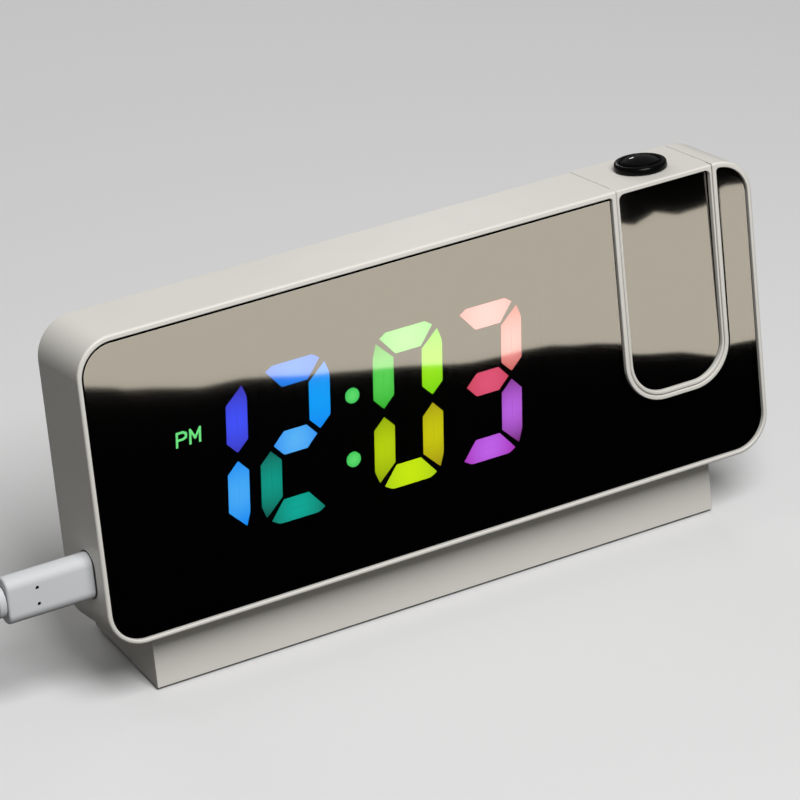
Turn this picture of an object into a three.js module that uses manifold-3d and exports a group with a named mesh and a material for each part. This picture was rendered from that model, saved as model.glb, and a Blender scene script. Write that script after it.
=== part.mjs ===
import * as THREE from 'three';
import { mergeVertices } from 'three/addons/utils/BufferGeometryUtils.js';
import Module from 'manifold-3d';

const wasm = await Module();
wasm.setup();

// Driving sizes in millimetres. In the clock's own frame x runs along the face, y from the face to the back
// and z up the face, with zero at the middle of the face's lower edge. The clock leans back on its stand.
const bodyWidth = 197.6;
const bodyHeight = 82;
const bodyDepth = 22.4;
const cornerRadius = 10;
const leanDegrees = 10.5;
const wall = 2;
const edgeBevel = 0.4;
const fitGap = 0.3;
const overrun = 2;
const arcSteps = 6;
const slotSteps = 3;
const roundSteps = 24;
const smallSteps = 12;

// Mirror panel, set back inside the front lip.
const lipWidth = 1.2;
const panelRecess = 1.4;
const panelThickness = 1.5;
const panelGap = 0.4;
const ledgeWidth = 2.5;
const ledgeThickness = 1.5;

// Projector arm, which fills a bay that is open to the front, the top and the back.
const armWidth = 29.5;
const armCentreFromRight = 26.5;
const armBottom = 23.3;
const armBottomRadius = 10.2;
const armRimWidth = 0.7;
const armRimFoot = 1.1;
const armRimHead = 0.85;
const armMirrorRecess = 1.2;
const armMirrorThickness = 1.2;
const armMirrorTopRadius = 1.2;
const armPlateThickness = 1.2;
const armWall = 1.5;
const legDepth = 9;
const blockHeight = 22;
const bayRimWidth = 1.05;
const bayRelief = 0.65;
const bayReliefStart = 0.5;
const bayThickening = 0.9;
const hingeHeightInArm = 14;
const hingeDepth = 4.6;
const hingePinRadius = 0.8;
const hingePinClearance = 0.08;
const hingeBossLength = 3;
const hingeBossHeight = 6;
const hingeBossDepth = 4;
const hingePinReach = 5;
const armScrewSpread = 8;
const armScrewBelowHead = 8;
const armScrewHeadHeight = 0.8;
const armBossRadius = 2.2;

// Projector optics, on one upright axis in the arm's head.
const ringFootRadius = 7.05;
const ringTopRadius = 6.75;
const ringHeight = 1.8;
const ringBoreRadius = 5.5;
const ringEdge = 0.35;
const barrelRadius = 5.2;
const barrelBore = 4.5;
const barrelLength = 8.5;
const cellShankRadius = 4.2;
const cellShankBore = 3.4;
const cellShankLength = 8;
const cellHeadRadius = 5.2;
const cellHeadHeight = 0.9;
const cellRim = 0.3;
const focusTravel = 0.8;
const domeRadius = 4.6;
const domeRise = 1.1;
const condenserRadius = 4.5;
const condenserThickness = 3;
const condenserShares = [[1, 0], [1, 0.35], [0.8, 0.7], [0.45, 0.93]];
const lcdWidth = 14;
const lcdThickness = 1.4;
const projectorBoardWidth = 20;
const projectorBoardDepth = 14;
const boardThickness = 1.6;
const ledSize = 3;
const ledHeight = 0.8;

// Display behind the mirror panel: four slanted seven-segment digits, a colon and a half-day indicator.
const digitHalfWidth = 10.25;
const digitHalfHeight = 21.05;
const digitDrop = 1.05;
const slant = 0.09;
const displayShift = 0.3;
const hoursToLeft = 30.65;
const minutesToRight = 26;
const digitPitch = 23.7;
const colonToLeft = 2.2;
const colonDotRadius = 2.15;
const colonRise = 7.1;
const colonDrop = 9.85;
const indicatorToLeft = 48.15;
const indicatorRise = 8.95;
const indicatorWidth = 8.4;
const indicatorTall = 5.6;
const maskThickness = 1;
const diffuserThickness = 0.8;
const diffuserRim = 0.9;
const rearSpace = 6.9;
const reflectorRim = 2.4;
const boardMargin = 1.5;
const boardTopInset = 10.2;
const boardBottomInset = 8.1;
const ledRowShares = [-0.85, -0.45, 0, 0.45, 0.85];

// Where a digit's right-hand column lies, as shares of its half width.
const columnMiddleShare = 0.7;
const columnHalfShare = 0.3;

// Outlines of four segments, as shares of a digit's half sizes. Half a turn of three gives the others.
const segmentShares = {
  topShares: [[-0.8, 0.943], [-0.62, 1], [0.51, 1], [0.73, 0.936], [0.38, 0.7], [-0.34, 0.7]],
  upperLeftShares: [[-0.9, 0.898], [-0.4, 0.672], [-0.4, 0.195], [-0.7, 0.047], [-1, 0.195], [-1, 0.72]],
  upperRightShares: [[0.86, 0.876], [1, 0.713], [1, 0.192], [0.7, 0.047], [0.4, 0.192], [0.4, 0.663]],
  middleShares: [[-0.62, 0], [-0.325, 0.15], [0.325, 0.15], [0.62, 0], [0.325, -0.15], [-0.325, -0.15]],
};

// Rear cover and what sits behind the board.
const coverScrewInset = 6;
const coverScrewRadius = 0.9;
const coverScrewLength = 8;
const screwHeadRadius = 2;
const screwHeadHeight = 1;
const screwHoleClearance = 0.25;
const bossRadius = 3.5;
const middleScrewInset = 5.2;
const middleScrewOffset = 8;
const buttonRadius = 3.3;
const buttonRise = 1;
const buttonFlange = 0.9;
const buttonFlangeThickness = 1.2;
const buttonStemRadius = 1.2;
const buttonStemLength = 0.9;
const buttonTravel = 0.8;
const buttonPitch = 14;
const buttonDrop = 16;
const switchSize = 6;
const speakerRadius = 11;
const speakerThickness = 4.2;
const speakerFromLeft = 40.8;
const speakerRise = 1;
const grilleSlots = 7;
const grillePitch = 2.6;
const grilleSlotWidth = 1.2;
const grilleReachShare = 0.86;
const cellRadius = 10;
const cellThickness = 3.2;
const batteryFromMiddle = 12;
const batteryDrop = 9;
const holderWall = 1.4;
const doorRadius = 12.2;
const doorLugReach = 1.6;
const doorLugWidth = 5;
const doorLugThickness = 1;
const doorLugTurn = 45;
const coinSlotLength = 12;
const coinSlotWidth = 1.8;
const coinSlotDepth = 0.8;
const chipFromMiddle = -24;
const chipWidth = 12;
const chipHeight = 1.6;

// Stand, with feet that stand on level ground when the clock leans back.
const standInset = 14.6;
const standFront = 8.2;
const standDrop = 16.8;
const standEnd = 42;
const standEndHeight = 4.6;
const standShoulder = 4.4;
const standWall = 1.8;
const standPlateThickness = 1.6;
const footRise = 0.8;
const footSink = 0.8;
const footLength = 18;
const footWidth = 8;
const footInset = 10;
const footSetback = 2.2;
const standScrewSpread = 60;
const standScrewReach = 3.2;
const standBossHeight = 3.6;

// Power socket low on the left side, and the lead's plug in it.
const socketHeight = 18.8;
const socketDepth = 8.6;
const socketLength = 7.5;
const socketThickness = 4;
const socketWidth = 9.5;
const socketWall = 0.35;
const socketMouth = 0.3;
const recessThickness = 8.4;
const recessWidth = 14;
const usbBoardLength = 7.5;
const usbBoardThickness = 1;
const usbBoardWidth = 18;
const plugThickness = 6.2;
const plugWidth = 12.4;
const plugCorner = 3;
const plugLength = 22.4;
const plugStandOff = 0.6;
const tongueLength = 6.2;
const tongueThickness = 2.5;
const tongueWidth = 8.2;
const tongueWall = 0.65;
const tongueMouthDepth = 4.5;
const plugDotRadius = 0.35;
const plugDotDepth = 0.4;
const plugDotSpread = 4.3;
const plugDotSetback = 16.2;
const reliefLength = 16;
const reliefStart = 4.1;
const reliefEnd = 2.7;
const reliefFlatShare = 0.74;
const reliefRibs = 4;
const reliefGroove = 0.6;
const cordDiameter = 3.5;
const cordSides = 8;

// Free stretch of the lead, from the strain relief down to the ground and on to the coil.
const cordRoute = [
  [-138.4, -8.3, 35.73], [-141.83, -8.43, 35.11], [-144.95, -8.79, 33.56], [-147.74, -9.32, 31.51],
  [-150.27, -9.98, 29.18], [-152.62, -10.72, 26.68], [-154.84, -11.52, 24.09], [-156.98, -12.36, 21.44],
  [-159.09, -13.23, 18.77], [-161.19, -14.1, 16.11], [-163.35, -14.95, 13.48], [-165.6, -15.77, 10.91],
  [-167.99, -16.54, 8.47], [-170.59, -17.22, 6.22], [-173.48, -17.79, 4.32], [-176.72, -18.17, 3.06],
  [-180.2, -18.3, 2.8],
];

// Coil: two layers that spiral in and out again, clockwise as seen from above, then a tail that turns inwards.
const coilX = -184;
const coilY = 9.4;
const coilOuter = 27.7;
const coilTurns = 6.78;
const coilPitch = 4.05;
const coilFloor = 2.8;
const coilSteps = 22;
const coilSides = 6;
const tailRound = 10;
const tailRadius = 10;
const tailTurnShare = 0.2917;
const tailSteps = 12;
const tieThickness = 0.7;
const tieWidth = 5;
const tieClearance = 0.35;
const tieTurnShare = 0.15;
const farPlugWidth = 15.4;
const farPlugThickness = 7.8;
const farPlugCorner = 2.2;
const farPlugLength = 22;
const farReliefLength = 9;
const farReliefRadius = 2.7;
const farShellWidth = 12;
const farShellLength = 18.5;
const farShellThickness = 4.5;
const farShellWall = 0.4;
const farTongueThickness = 1.6;

// Finishes.
const shellWhite = 0xd8d5cf;
const mirrorGrey = 0x2b2a28;
const maskBlack = 0x0b0b0c;
const diffuserWhite = 0xe8e8e4;
const boardGreen = 0x1f5a3a;
const steelGrey = 0xb4b6b8;
const lensBlack = 0x0a0a0b;
const leadWhite = 0xe3e4e6;
const rubberGrey = 0x3a3a3c;

const lean = THREE.MathUtils.degToRad(leanDegrees);
const fullTurn = 2 * Math.PI;
const halfWidth = bodyWidth / 2;
const armX = halfWidth - armCentreFromRight;
const bayHalf = armWidth / 2 + fitGap;
const bayRim = fitGap + bayRimWidth;
const bayWallHalf = armWidth / 2 + bayRim + bayThickening;

// The display lies midway between the left side and the arm's bay.
const displayX = (-halfWidth + armX - bayWallHalf) / 2 + displayShift;
const digitMiddle = bodyHeight / 2 - digitDrop;
const hoursCentre = displayX - hoursToLeft;
const minutesCentre = displayX + minutesToRight;
const colonCentre = displayX - colonToLeft;
const colonUpper = digitMiddle + colonRise;
const colonLower = digitMiddle - colonDrop;
const indicatorCentre = displayX - indicatorToLeft;
const indicatorHeight = digitMiddle + indicatorRise;
const digitCentres = [hoursCentre, minutesCentre].flatMap((x) => [x - digitPitch / 2, x + digitPitch / 2]);
// The first digit is a lone right-hand column, which leaves room for the half-day indicator on its left.
const digitCells = digitCentres.map((x, i) => (i > 0
  ? { x, half: digitHalfWidth }
  : { x: x + columnMiddleShare * digitHalfWidth, half: columnHalfShare * digitHalfWidth }));
const speakerX = -halfWidth + speakerFromLeft;
const speakerZ = bodyHeight / 2 + speakerRise;
const batteryX = batteryFromMiddle;
const batteryZ = bodyHeight / 2 - batteryDrop;
const buttonRow = bodyHeight - buttonDrop;
const speakerPlace = [speakerX, speakerZ];
const batteryPlace = [batteryX, batteryZ];
const clock = new THREE.Group();
const lead = new THREE.Group();
const arm = new THREE.Group();

// A closed solid from a geometry, with its shared corners merged.
function solidOf(geometry) {
  geometry.deleteAttribute('normal');
  geometry.deleteAttribute('uv');
  const welded = mergeVertices(geometry);
  const vertProperties = Float32Array.from(welded.attributes.position.array);
  const triVerts = Uint32Array.from(welded.index.array);
  return new wasm.Manifold(new wasm.Mesh({ numProp: 3, vertProperties, triVerts }));
}

function addMesh(group, name, solid, color, roughness, metalness = 0) {
  const { vertProperties, triVerts } = solid.getMesh();
  const geometry = new THREE.BufferGeometry();
  geometry.setAttribute('position', new THREE.BufferAttribute(vertProperties, 3));
  geometry.setIndex(new THREE.BufferAttribute(triVerts, 1));
  geometry.computeVertexNormals();
  const mesh = new THREE.Mesh(geometry, new THREE.MeshStandardMaterial({ color, roughness, metalness }));
  mesh.name = name;
  group.add(mesh);
  return mesh;
}

function unite(...solids) {
  return solids.reduce((joined, next) => joined.add(next));
}

function cut(solid, ...tools) {
  return tools.reduce((left, tool) => left.subtract(tool), solid);
}

// A box between two corners.
function box([x0, y0, z0], [x1, y1, z1]) {
  const geometry = new THREE.BoxGeometry(x1 - x0, y1 - y0, z1 - z0);
  return solidOf(geometry.translate((x0 + x1) / 2, (y0 + y1) / 2, (z0 + z1) / 2));
}

// A box of a given size around a middle point.
function block([width, depth, height], [x, y, z]) {
  return box([x - width / 2, y - depth / 2, z - height / 2], [x + width / 2, y + depth / 2, z + height / 2]);
}

// A flat outline in x and z, made solid from one depth to another.
function plate(shape, front, back, bevel = 0, curveSegments = arcSteps) {
  const geometry = new THREE.ExtrudeGeometry(shape, {
    depth: back - front - 2 * bevel,
    bevelEnabled: bevel > 0,
    bevelThickness: bevel,
    bevelSize: bevel,
    bevelOffset: -bevel,
    bevelSegments: 1,
    curveSegments,
  });
  return solidOf(geometry.rotateX(Math.PI / 2).translate(0, back - bevel, 0));
}

function roundedRect(left, bottom, right, top, radius) {
  const shape = new THREE.Shape();
  shape.moveTo(left + radius, bottom);
  shape.lineTo(right - radius, bottom);
  shape.absarc(right - radius, bottom + radius, radius, -Math.PI / 2, 0);
  shape.lineTo(right, top - radius);
  shape.absarc(right - radius, top - radius, radius, 0, Math.PI / 2);
  shape.lineTo(left + radius, top);
  shape.absarc(left + radius, top - radius, radius, Math.PI / 2, Math.PI);
  shape.lineTo(left, bottom + radius);
  shape.absarc(left + radius, bottom + radius, radius, Math.PI, Math.PI * 1.5);
  return shape;
}

// The clock's front outline, drawn in by some amount.
function faceOutline(inset) {
  const radius = cornerRadius - inset;
  return roundedRect(-halfWidth + inset, inset, halfWidth - inset, bodyHeight - inset, radius);
}

function outlineOf(points) {
  return new THREE.Shape(points.map(([x, z]) => new THREE.Vector2(x, z)));
}

function disc(x, z, radius) {
  const shape = new THREE.Shape();
  shape.absarc(x, z, radius, 0, fullTurn);
  return shape;
}

// A round bar along y, or along another axis after turning.
function barY(radius, [x, z], front, back, steps = roundSteps) {
  const geometry = new THREE.CylinderGeometry(radius, radius, back - front, steps);
  return solidOf(geometry.translate(x, (front + back) / 2, z));
}

function barX(radius, [y, z], left, right) {
  const geometry = new THREE.CylinderGeometry(radius, radius, right - left, smallSteps);
  return solidOf(geometry.rotateZ(Math.PI / 2).translate((left + right) / 2, y, z));
}

// A turned solid on an upright axis. Its profile lists radius and height, from the foot up.
function turnedZ(profile, [x, y], steps = roundSteps) {
  const geometry = new THREE.LatheGeometry(profile.map(([r, z]) => new THREE.Vector2(r, z)), steps);
  return solidOf(geometry.rotateX(Math.PI / 2).translate(x, y, 0));
}

// An upright round bar.
function barZ(radius, place, bottom, top, steps = smallSteps) {
  return turnedZ([[0, bottom], [radius, bottom], [radius, top], [0, top]], place, steps);
}

// Depths of the layers behind the face, each one gap behind the last.
const panelBack = panelRecess + panelThickness;
const ledgeFront = panelBack + fitGap;
const ledgeBack = ledgeFront + ledgeThickness;
const coverFront = bodyDepth - wall;
const bayBack = coverFront - fitGap;
const maskFront = panelBack + fitGap;
const maskBack = maskFront + maskThickness;
const diffuserFront = maskBack + fitGap;
const diffuserBack = diffuserFront + diffuserThickness;
const reflectorFront = diffuserBack + fitGap;
// The parts behind the board keep their space, and the reflector takes what depth is left.
const boardBack = coverFront - rearSpace;
const boardFront = boardBack - boardThickness;
const reflectorBack = boardFront - fitGap;

// Places that the arm and its bay share.
const hingeZ = armBottom + hingeHeightInArm;
const blockBottom = bodyHeight - blockHeight;

// The arm's front outline, spread by some amount, with round lower corners and a square top.
function armOutline(spread, top, drop = 0) {
  const half = armWidth / 2 + spread;
  const radius = armBottomRadius + spread;
  const bottom = armBottom - spread - drop;
  const shape = new THREE.Shape();
  shape.moveTo(-half + radius, bottom);
  shape.lineTo(half - radius, bottom);
  shape.absarc(half - radius, bottom + radius, radius, -Math.PI / 2, 0);
  shape.lineTo(half, top);
  shape.lineTo(-half, top);
  shape.absarc(-half + radius, bottom + radius, radius, Math.PI, Math.PI * 1.5);
  return shape;
}

function atArm(solid) {
  return solid.translate([armX, 0, 0]);
}

// Cover screws: one near each corner, and two beside the arm's bay.
const nearBay = armX - bayHalf - bayRim - middleScrewOffset;
const coverScrews = [
  [-halfWidth + coverScrewInset, coverScrewInset],
  [-halfWidth + coverScrewInset, bodyHeight - coverScrewInset],
  [halfWidth - coverScrewInset, coverScrewInset],
  [halfWidth - coverScrewInset, bodyHeight - coverScrewInset],
  [nearBay, middleScrewInset],
  [nearBay, bodyHeight - middleScrewInset],
];
const buttons = ['mode', 'up', 'down', 'alarm', 'light'].map((use, i, all) => (
  { use, place: [(i - (all.length - 1) / 2) * buttonPitch, buttonRow] }
));
const standScrews = [-standScrewSpread, standScrewSpread];
const standScrewY = (standFront + bodyDepth) / 2;
const holeRadius = coverScrewRadius + screwHoleClearance;

// Section of the socket recess and of the plug, in y and z, made solid along x.
function sideSlot(thickness, width, radius, left, right) {
  const shape = roundedRect(-thickness / 2, -width / 2, thickness / 2, width / 2, radius);
  const options = { depth: right - left, bevelEnabled: false, curveSegments: arcSteps };
  const geometry = new THREE.ExtrudeGeometry(shape, options);
  geometry.rotateX(Math.PI / 2).rotateZ(Math.PI / 2);
  return solidOf(geometry.translate(left, socketDepth, socketHeight));
}

function makeHousing() {
  const bayTop = bodyHeight - wall / 2;
  const bossStart = maskBack + fitGap;
  const shell = cut(
    plate(faceOutline(0), 0, bodyDepth, edgeBevel),
    plate(faceOutline(wall), ledgeBack, bodyDepth + overrun),
    plate(faceOutline(lipWidth), -overrun, ledgeFront),
    plate(faceOutline(wall + ledgeWidth), -overrun, bodyDepth),
  );
  const bosses = coverScrews.map((place) => barY(bossRadius, place, bossStart, bayBack, smallSteps));
  const standBosses = standScrews.map((x) => barZ(bossRadius, [x, standScrewY], wall / 2, standBossHeight));
  const hingeBosses = [-1, 1].map((side) => block(
    [hingeBossLength + bayRimWidth, hingeBossDepth, hingeBossHeight],
    [side * (bayHalf + (hingeBossLength + bayRimWidth) / 2), ledgeFront + hingeBossDepth / 2, hingeZ],
  ));
  const bay = atArm(unite(
    plate(armOutline(bayRim, bayTop), 0, bayBack),
    plate(armOutline(bayRim + bayThickening, bayTop), ledgeFront, bayBack),
    ...hingeBosses,
  ));
  const hinge = barX(
    hingePinRadius + hingePinClearance,
    [hingeDepth, hingeZ],
    -bayHalf - hingeBossLength - bayRimWidth - overrun,
    bayHalf + hingeBossLength + bayRimWidth + overrun,
  );
  return cut(
    unite(shell, ...bosses, ...standBosses, bay),
    atArm(plate(armOutline(fitGap, bodyHeight + overrun), -overrun, bodyDepth + overrun)),
    atArm(plate(armOutline(fitGap, hingeZ, bayRelief), bayReliefStart, bodyDepth + overrun)),
    atArm(hinge),
    sideSlot(
      recessThickness,
      recessWidth,
      recessThickness / 2,
      -halfWidth - overrun,
      -halfWidth + wall + overrun,
    ),
    ...coverScrews.map((place) => (
      barY(holeRadius, place, bayBack - coverScrewLength, bodyDepth, smallSteps)
    )),
    ...standScrews.map((x) => (
      barZ(holeRadius, [x, standScrewY], -overrun, standBossHeight + overrun)
    )),
  );
}

function makeMirrorPanel() {
  const notch = atArm(plate(armOutline(bayRim + panelGap, bodyHeight + overrun), 0, bodyDepth));
  return cut(plate(faceOutline(lipWidth + panelGap), panelRecess, panelBack), notch);
}

// One segment's outline on a digit, drawn in by some amount. All corners are convex.
function segmentOutline(shares, digitX, inset, turn) {
  const across = turn * digitHalfWidth;
  const tall = turn * digitHalfHeight;
  const points = shares.map(([x, z]) => new THREE.Vector2(x * across, z * tall));
  const middle = points.reduce((sum, p) => sum.add(p), new THREE.Vector2()).divideScalar(points.length);
  const edges = points.map((p, i) => {
    const next = points[(i + 1) % points.length];
    const normal = new THREE.Vector2(next.y - p.y, p.x - next.x).normalize();
    const inward = normal.dot(middle.clone().sub(p)) > 0 ? normal : normal.negate();
    return { normal: inward, offset: inward.dot(p) + inset };
  });
  return outlineOf(edges.map((edge, i) => {
    const last = edges[(i + edges.length - 1) % edges.length];
    const det = last.normal.x * edge.normal.y - last.normal.y * edge.normal.x;
    const x = (last.offset * edge.normal.y - edge.offset * last.normal.y) / det;
    const z = (last.normal.x * edge.offset - edge.normal.x * last.offset) / det;
    return [digitX + x + slant * z, digitMiddle + z];
  }));
}

function digitSegments(index, inset) {
  const { topShares, upperLeftShares, upperRightShares, middleShares } = segmentShares;
  const three = [topShares, upperLeftShares, upperRightShares];
  const upper = index > 0 ? [...three, middleShares] : [upperRightShares];
  const lower = index > 0 ? three : [upperLeftShares];
  return [
    ...upper.map((shares) => segmentOutline(shares, digitCentres[index], inset, 1)),
    ...lower.map((shares) => segmentOutline(shares, digitCentres[index], inset, -1)),
  ];
}

// A slanted four-cornered outline around a digit or the colon.
function slantedOutline(x, half, rim) {
  const tall = digitHalfHeight + rim;
  const corners = [[-half - rim, -tall], [half + rim, -tall], [half + rim, tall], [-half - rim, tall]];
  return outlineOf(corners.map(([dx, dz]) => [x + dx + slant * dz, digitMiddle + dz]));
}

const colonPlaces = [colonUpper, colonLower].map((z) => [colonCentre + slant * (z - digitMiddle), z]);

function colonDots(inset) {
  return colonPlaces.map(([x, z]) => disc(x, z, colonDotRadius - inset));
}

function indicatorOutline(inset) {
  const wide = indicatorWidth / 2 - inset;
  const tall = indicatorTall / 2 - inset;
  return roundedRect(
    indicatorCentre - wide,
    indicatorHeight - tall,
    indicatorCentre + wide,
    indicatorHeight + tall,
    diffuserRim,
  );
}

function makeMask() {
  const edge = wall + ledgeWidth + fitGap;
  const right = armX - bayHalf - bayRimWidth - hingeBossLength - fitGap;
  const shape = roundedRect(-halfWidth + edge, edge, right, bodyHeight - edge, cornerRadius - edge);
  const windows = [
    ...digitCentres.flatMap((_, i) => digitSegments(i, 0)),
    ...colonDots(0),
    indicatorOutline(0),
  ];
  const through = windows.map((window) => plate(window, maskFront - overrun, maskBack + overrun));
  return cut(plate(shape, maskFront, maskBack), ...through);
}

// A diffuser: a backing plate with raised faces that stand in the mask's windows.
function makeDiffuser(backing, faces) {
  const joined = diffuserFront + diffuserThickness / 2;
  const raised = faces.map((face) => plate(face, maskFront, joined));
  return unite(plate(backing, diffuserFront, diffuserBack), ...raised);
}

// A plate behind the digits between two heights, spread sideways, with an ear behind the indicator.
function displayPlate(spread, bottom, top, front, back) {
  const over = spread + reflectorRim;
  const [first] = digitCells;
  const last = digitCells.at(-1);
  const lean = slant * digitHalfHeight;
  const digits = roundedRect(
    first.x - first.half - lean - over,
    bottom,
    last.x + last.half + lean + over,
    top,
    reflectorRim,
  );
  const ear = roundedRect(
    indicatorCentre - indicatorWidth / 2 - over,
    indicatorHeight - indicatorTall / 2 - over,
    first.x,
    indicatorHeight + indicatorTall / 2 + over,
    reflectorRim,
  );
  return unite(plate(digits, front, back), plate(ear, front, back));
}

function makeReflector() {
  const wells = [
    ...digitCells.map(({ x, half }) => slantedOutline(x, half, 0)),
    slantedOutline(colonCentre, colonDotRadius, 0),
    indicatorOutline(0),
  ];
  const tall = digitHalfHeight + reflectorRim;
  return cut(
    displayPlate(0, digitMiddle - tall, digitMiddle + tall, reflectorFront, reflectorBack),
    ...wells.map((well) => plate(well, reflectorFront - overrun, reflectorBack + overrun)),
  );
}

const switchBack = coverFront - fitGap - buttonFlangeThickness - buttonStemLength - buttonTravel - fitGap;

function makeMainBoard() {
  const top = bodyHeight - boardTopInset;
  const board = displayPlate(boardMargin, boardBottomInset, top, boardFront, boardBack);
  const ledPlaces = digitCells.flatMap(({ x }) => ledRowShares.map((share) => (
    [x + slant * share * digitHalfHeight, digitMiddle + share * digitHalfHeight]
  )));
  ledPlaces.push(...colonPlaces, [indicatorCentre, indicatorHeight]);
  const leds = ledPlaces.map(([x, z]) => box(
    [x - ledSize / 2, boardFront - ledHeight, z - ledSize / 2],
    [x + ledSize / 2, boardFront + boardThickness / 2, z + ledSize / 2],
  ));
  const switches = buttons.map(({ place: [x, z] }) => box(
    [x - switchSize / 2, boardFront + boardThickness / 2, z - switchSize / 2],
    [x + switchSize / 2, switchBack, z + switchSize / 2],
  ));
  const chip = box(
    [chipFromMiddle - chipWidth / 2, boardFront + boardThickness / 2, batteryZ - chipWidth / 2],
    [chipFromMiddle + chipWidth / 2, boardBack + chipHeight, batteryZ + chipWidth / 2],
  );
  return unite(board, ...leds, ...switches, chip);
}

const holderBack = coverFront - fitGap - doorLugThickness - fitGap;
const cellFront = holderBack - cellThickness;

function makeBatteryHolder() {
  const outer = cellRadius + fitGap + holderWall;
  return cut(
    barY(outer, batteryPlace, boardBack + fitGap, holderBack),
    barY(cellRadius + fitGap, batteryPlace, cellFront - fitGap, holderBack + overrun),
  );
}

function makeBatteryDoor() {
  const lugBack = coverFront - fitGap;
  const lugFront = lugBack - doorLugThickness;
  const lugs = plate(roundedRect(
    -doorRadius - doorLugReach,
    -doorLugWidth / 2,
    doorRadius + doorLugReach,
    doorLugWidth / 2,
    doorLugThickness,
  ), lugFront, lugBack).translate([batteryX, 0, batteryZ]);
  const slotMiddle = bodyDepth - coinSlotDepth / 2 + overrun / 2;
  const slot = block(
    [coinSlotLength, coinSlotDepth + overrun, coinSlotWidth],
    [batteryX, slotMiddle, batteryZ],
  );
  return cut(unite(barY(doorRadius, batteryPlace, lugFront, bodyDepth), lugs), slot);
}

function makeRearCover() {
  const inset = wall + fitGap;
  const lugSlot = block(
    [2 * (doorRadius + doorLugReach + fitGap), wall + 2 * overrun, doorLugWidth + 2 * fitGap],
    [0, coverFront + wall / 2, 0],
  ).rotate([0, doorLugTurn, 0]).translate([batteryX, 0, batteryZ]);
  const slots = Array.from({ length: grilleSlots }, (_, i) => {
    const offset = (i - (grilleSlots - 1) / 2) * grillePitch;
    const half = grilleReachShare * Math.sqrt(speakerRadius ** 2 - offset ** 2) - grilleSlotWidth / 2;
    const shape = roundedRect(
      speakerX + offset - grilleSlotWidth / 2,
      speakerZ - half,
      speakerX + offset + grilleSlotWidth / 2,
      speakerZ + half,
      grilleSlotWidth / 2,
    );
    return plate(shape, coverFront - overrun, bodyDepth + overrun, 0, slotSteps);
  });
  const through = [coverFront - overrun, bodyDepth + overrun];
  const armSlot = box(
    [armX - bayHalf, coverFront - overrun, blockBottom - fitGap],
    [armX + bayHalf, bodyDepth + overrun, bodyHeight + overrun],
  );
  return cut(
    plate(faceOutline(inset), coverFront, bodyDepth),
    armSlot,
    barY(doorRadius + fitGap, batteryPlace, ...through),
    lugSlot,
    ...buttons.map(({ place }) => barY(buttonRadius + fitGap, place, ...through)),
    ...slots,
    ...coverScrews.flatMap((place) => [
      barY(holeRadius, place, ...through, smallSteps),
      barY(screwHeadRadius + fitGap, place, bodyDepth - screwHeadHeight, bodyDepth + overrun, smallSteps),
    ]),
  );
}

// A screw along y, its head towards the back.
function makeCoverScrew(place) {
  const headFront = bodyDepth - screwHeadHeight + fitGap;
  return unite(
    barY(coverScrewRadius, place, headFront - coverScrewLength, headFront + fitGap, smallSteps),
    barY(screwHeadRadius, place, headFront, bodyDepth, smallSteps),
  );
}

function makeButton(place) {
  const flangeBack = coverFront - fitGap;
  const flangeFront = flangeBack - buttonFlangeThickness;
  return unite(
    barY(buttonStemRadius, place, flangeFront - buttonStemLength, flangeBack, smallSteps),
    barY(buttonRadius + buttonFlange, place, flangeFront, flangeBack),
    barY(buttonRadius, place, flangeFront, bodyDepth + buttonRise),
  );
}

// Height of the stand's underside at a given depth, in the clock's frame.
function underside(y) {
  return -standDrop + (y - standFront) * Math.tan(lean);
}

// A side outline in y and z, made solid across the stand's width less some amount at each end.
function acrossStand(points, inset) {
  const half = halfWidth - standInset - inset;
  const shape = outlineOf(points);
  const geometry = new THREE.ExtrudeGeometry(shape, { depth: 2 * half, bevelEnabled: false });
  geometry.rotateX(Math.PI / 2).rotateZ(Math.PI / 2);
  return solidOf(geometry.translate(-half, 0, 0));
}

const standSplit = bodyDepth;
const standTop = -fitGap;
const standShoulderY = standSplit + fitGap;
const plateLift = footSink + fitGap;

function makeStandFront() {
  const back = standSplit - fitGap / 2;
  const outer = [
    [standFront, underside(standFront)],
    [back, underside(back)],
    [back, standTop],
    [standFront, standTop],
  ];
  const inFront = standFront + standWall;
  const inTop = standTop - standWall;
  const over = back + overrun;
  const hollow = [
    [inFront, underside(inFront) - overrun],
    [over, underside(over) - overrun],
    [over, inTop],
    [inFront, inTop],
  ];
  const holes = standScrews.map((x) => barZ(holeRadius, [x, standScrewY], inTop - overrun, overrun));
  return cut(acrossStand(outer, 0), acrossStand(hollow, standWall), ...holes);
}

function makeStandRear() {
  const front = standSplit + fitGap / 2;
  const endTop = underside(standEnd) + standEndHeight;
  const outer = [
    [front, underside(front)],
    [standEnd, underside(standEnd)],
    [standEnd, endTop],
    [standShoulderY + standShoulder, standTop],
    [front, standTop],
  ];
  const slope = (standTop - endTop) / (standEnd - standShoulderY - standShoulder);
  const drop = standWall * Math.hypot(1, slope);
  const inEnd = standEnd - standWall;
  const over = front - overrun;
  const inTop = standTop - standWall;
  const hollow = [
    [over, underside(over) - overrun],
    [inEnd, underside(inEnd) - overrun],
    [inEnd, endTop + slope * standWall - drop],
    [standEnd - (inTop - endTop + drop) / slope, inTop],
    [over, inTop],
  ];
  return cut(acrossStand(outer, 0), acrossStand(hollow, standWall));
}

function makeStandPlate() {
  const front = standFront + standWall + fitGap;
  const back = standEnd - standWall - fitGap;
  const rise = plateLift;
  const outline = [
    [front, underside(front) + rise],
    [back, underside(back) + rise],
    [back, underside(back) + rise + standPlateThickness],
    [front, underside(front) + rise + standPlateThickness],
  ];
  return acrossStand(outline, standWall + fitGap);
}

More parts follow.
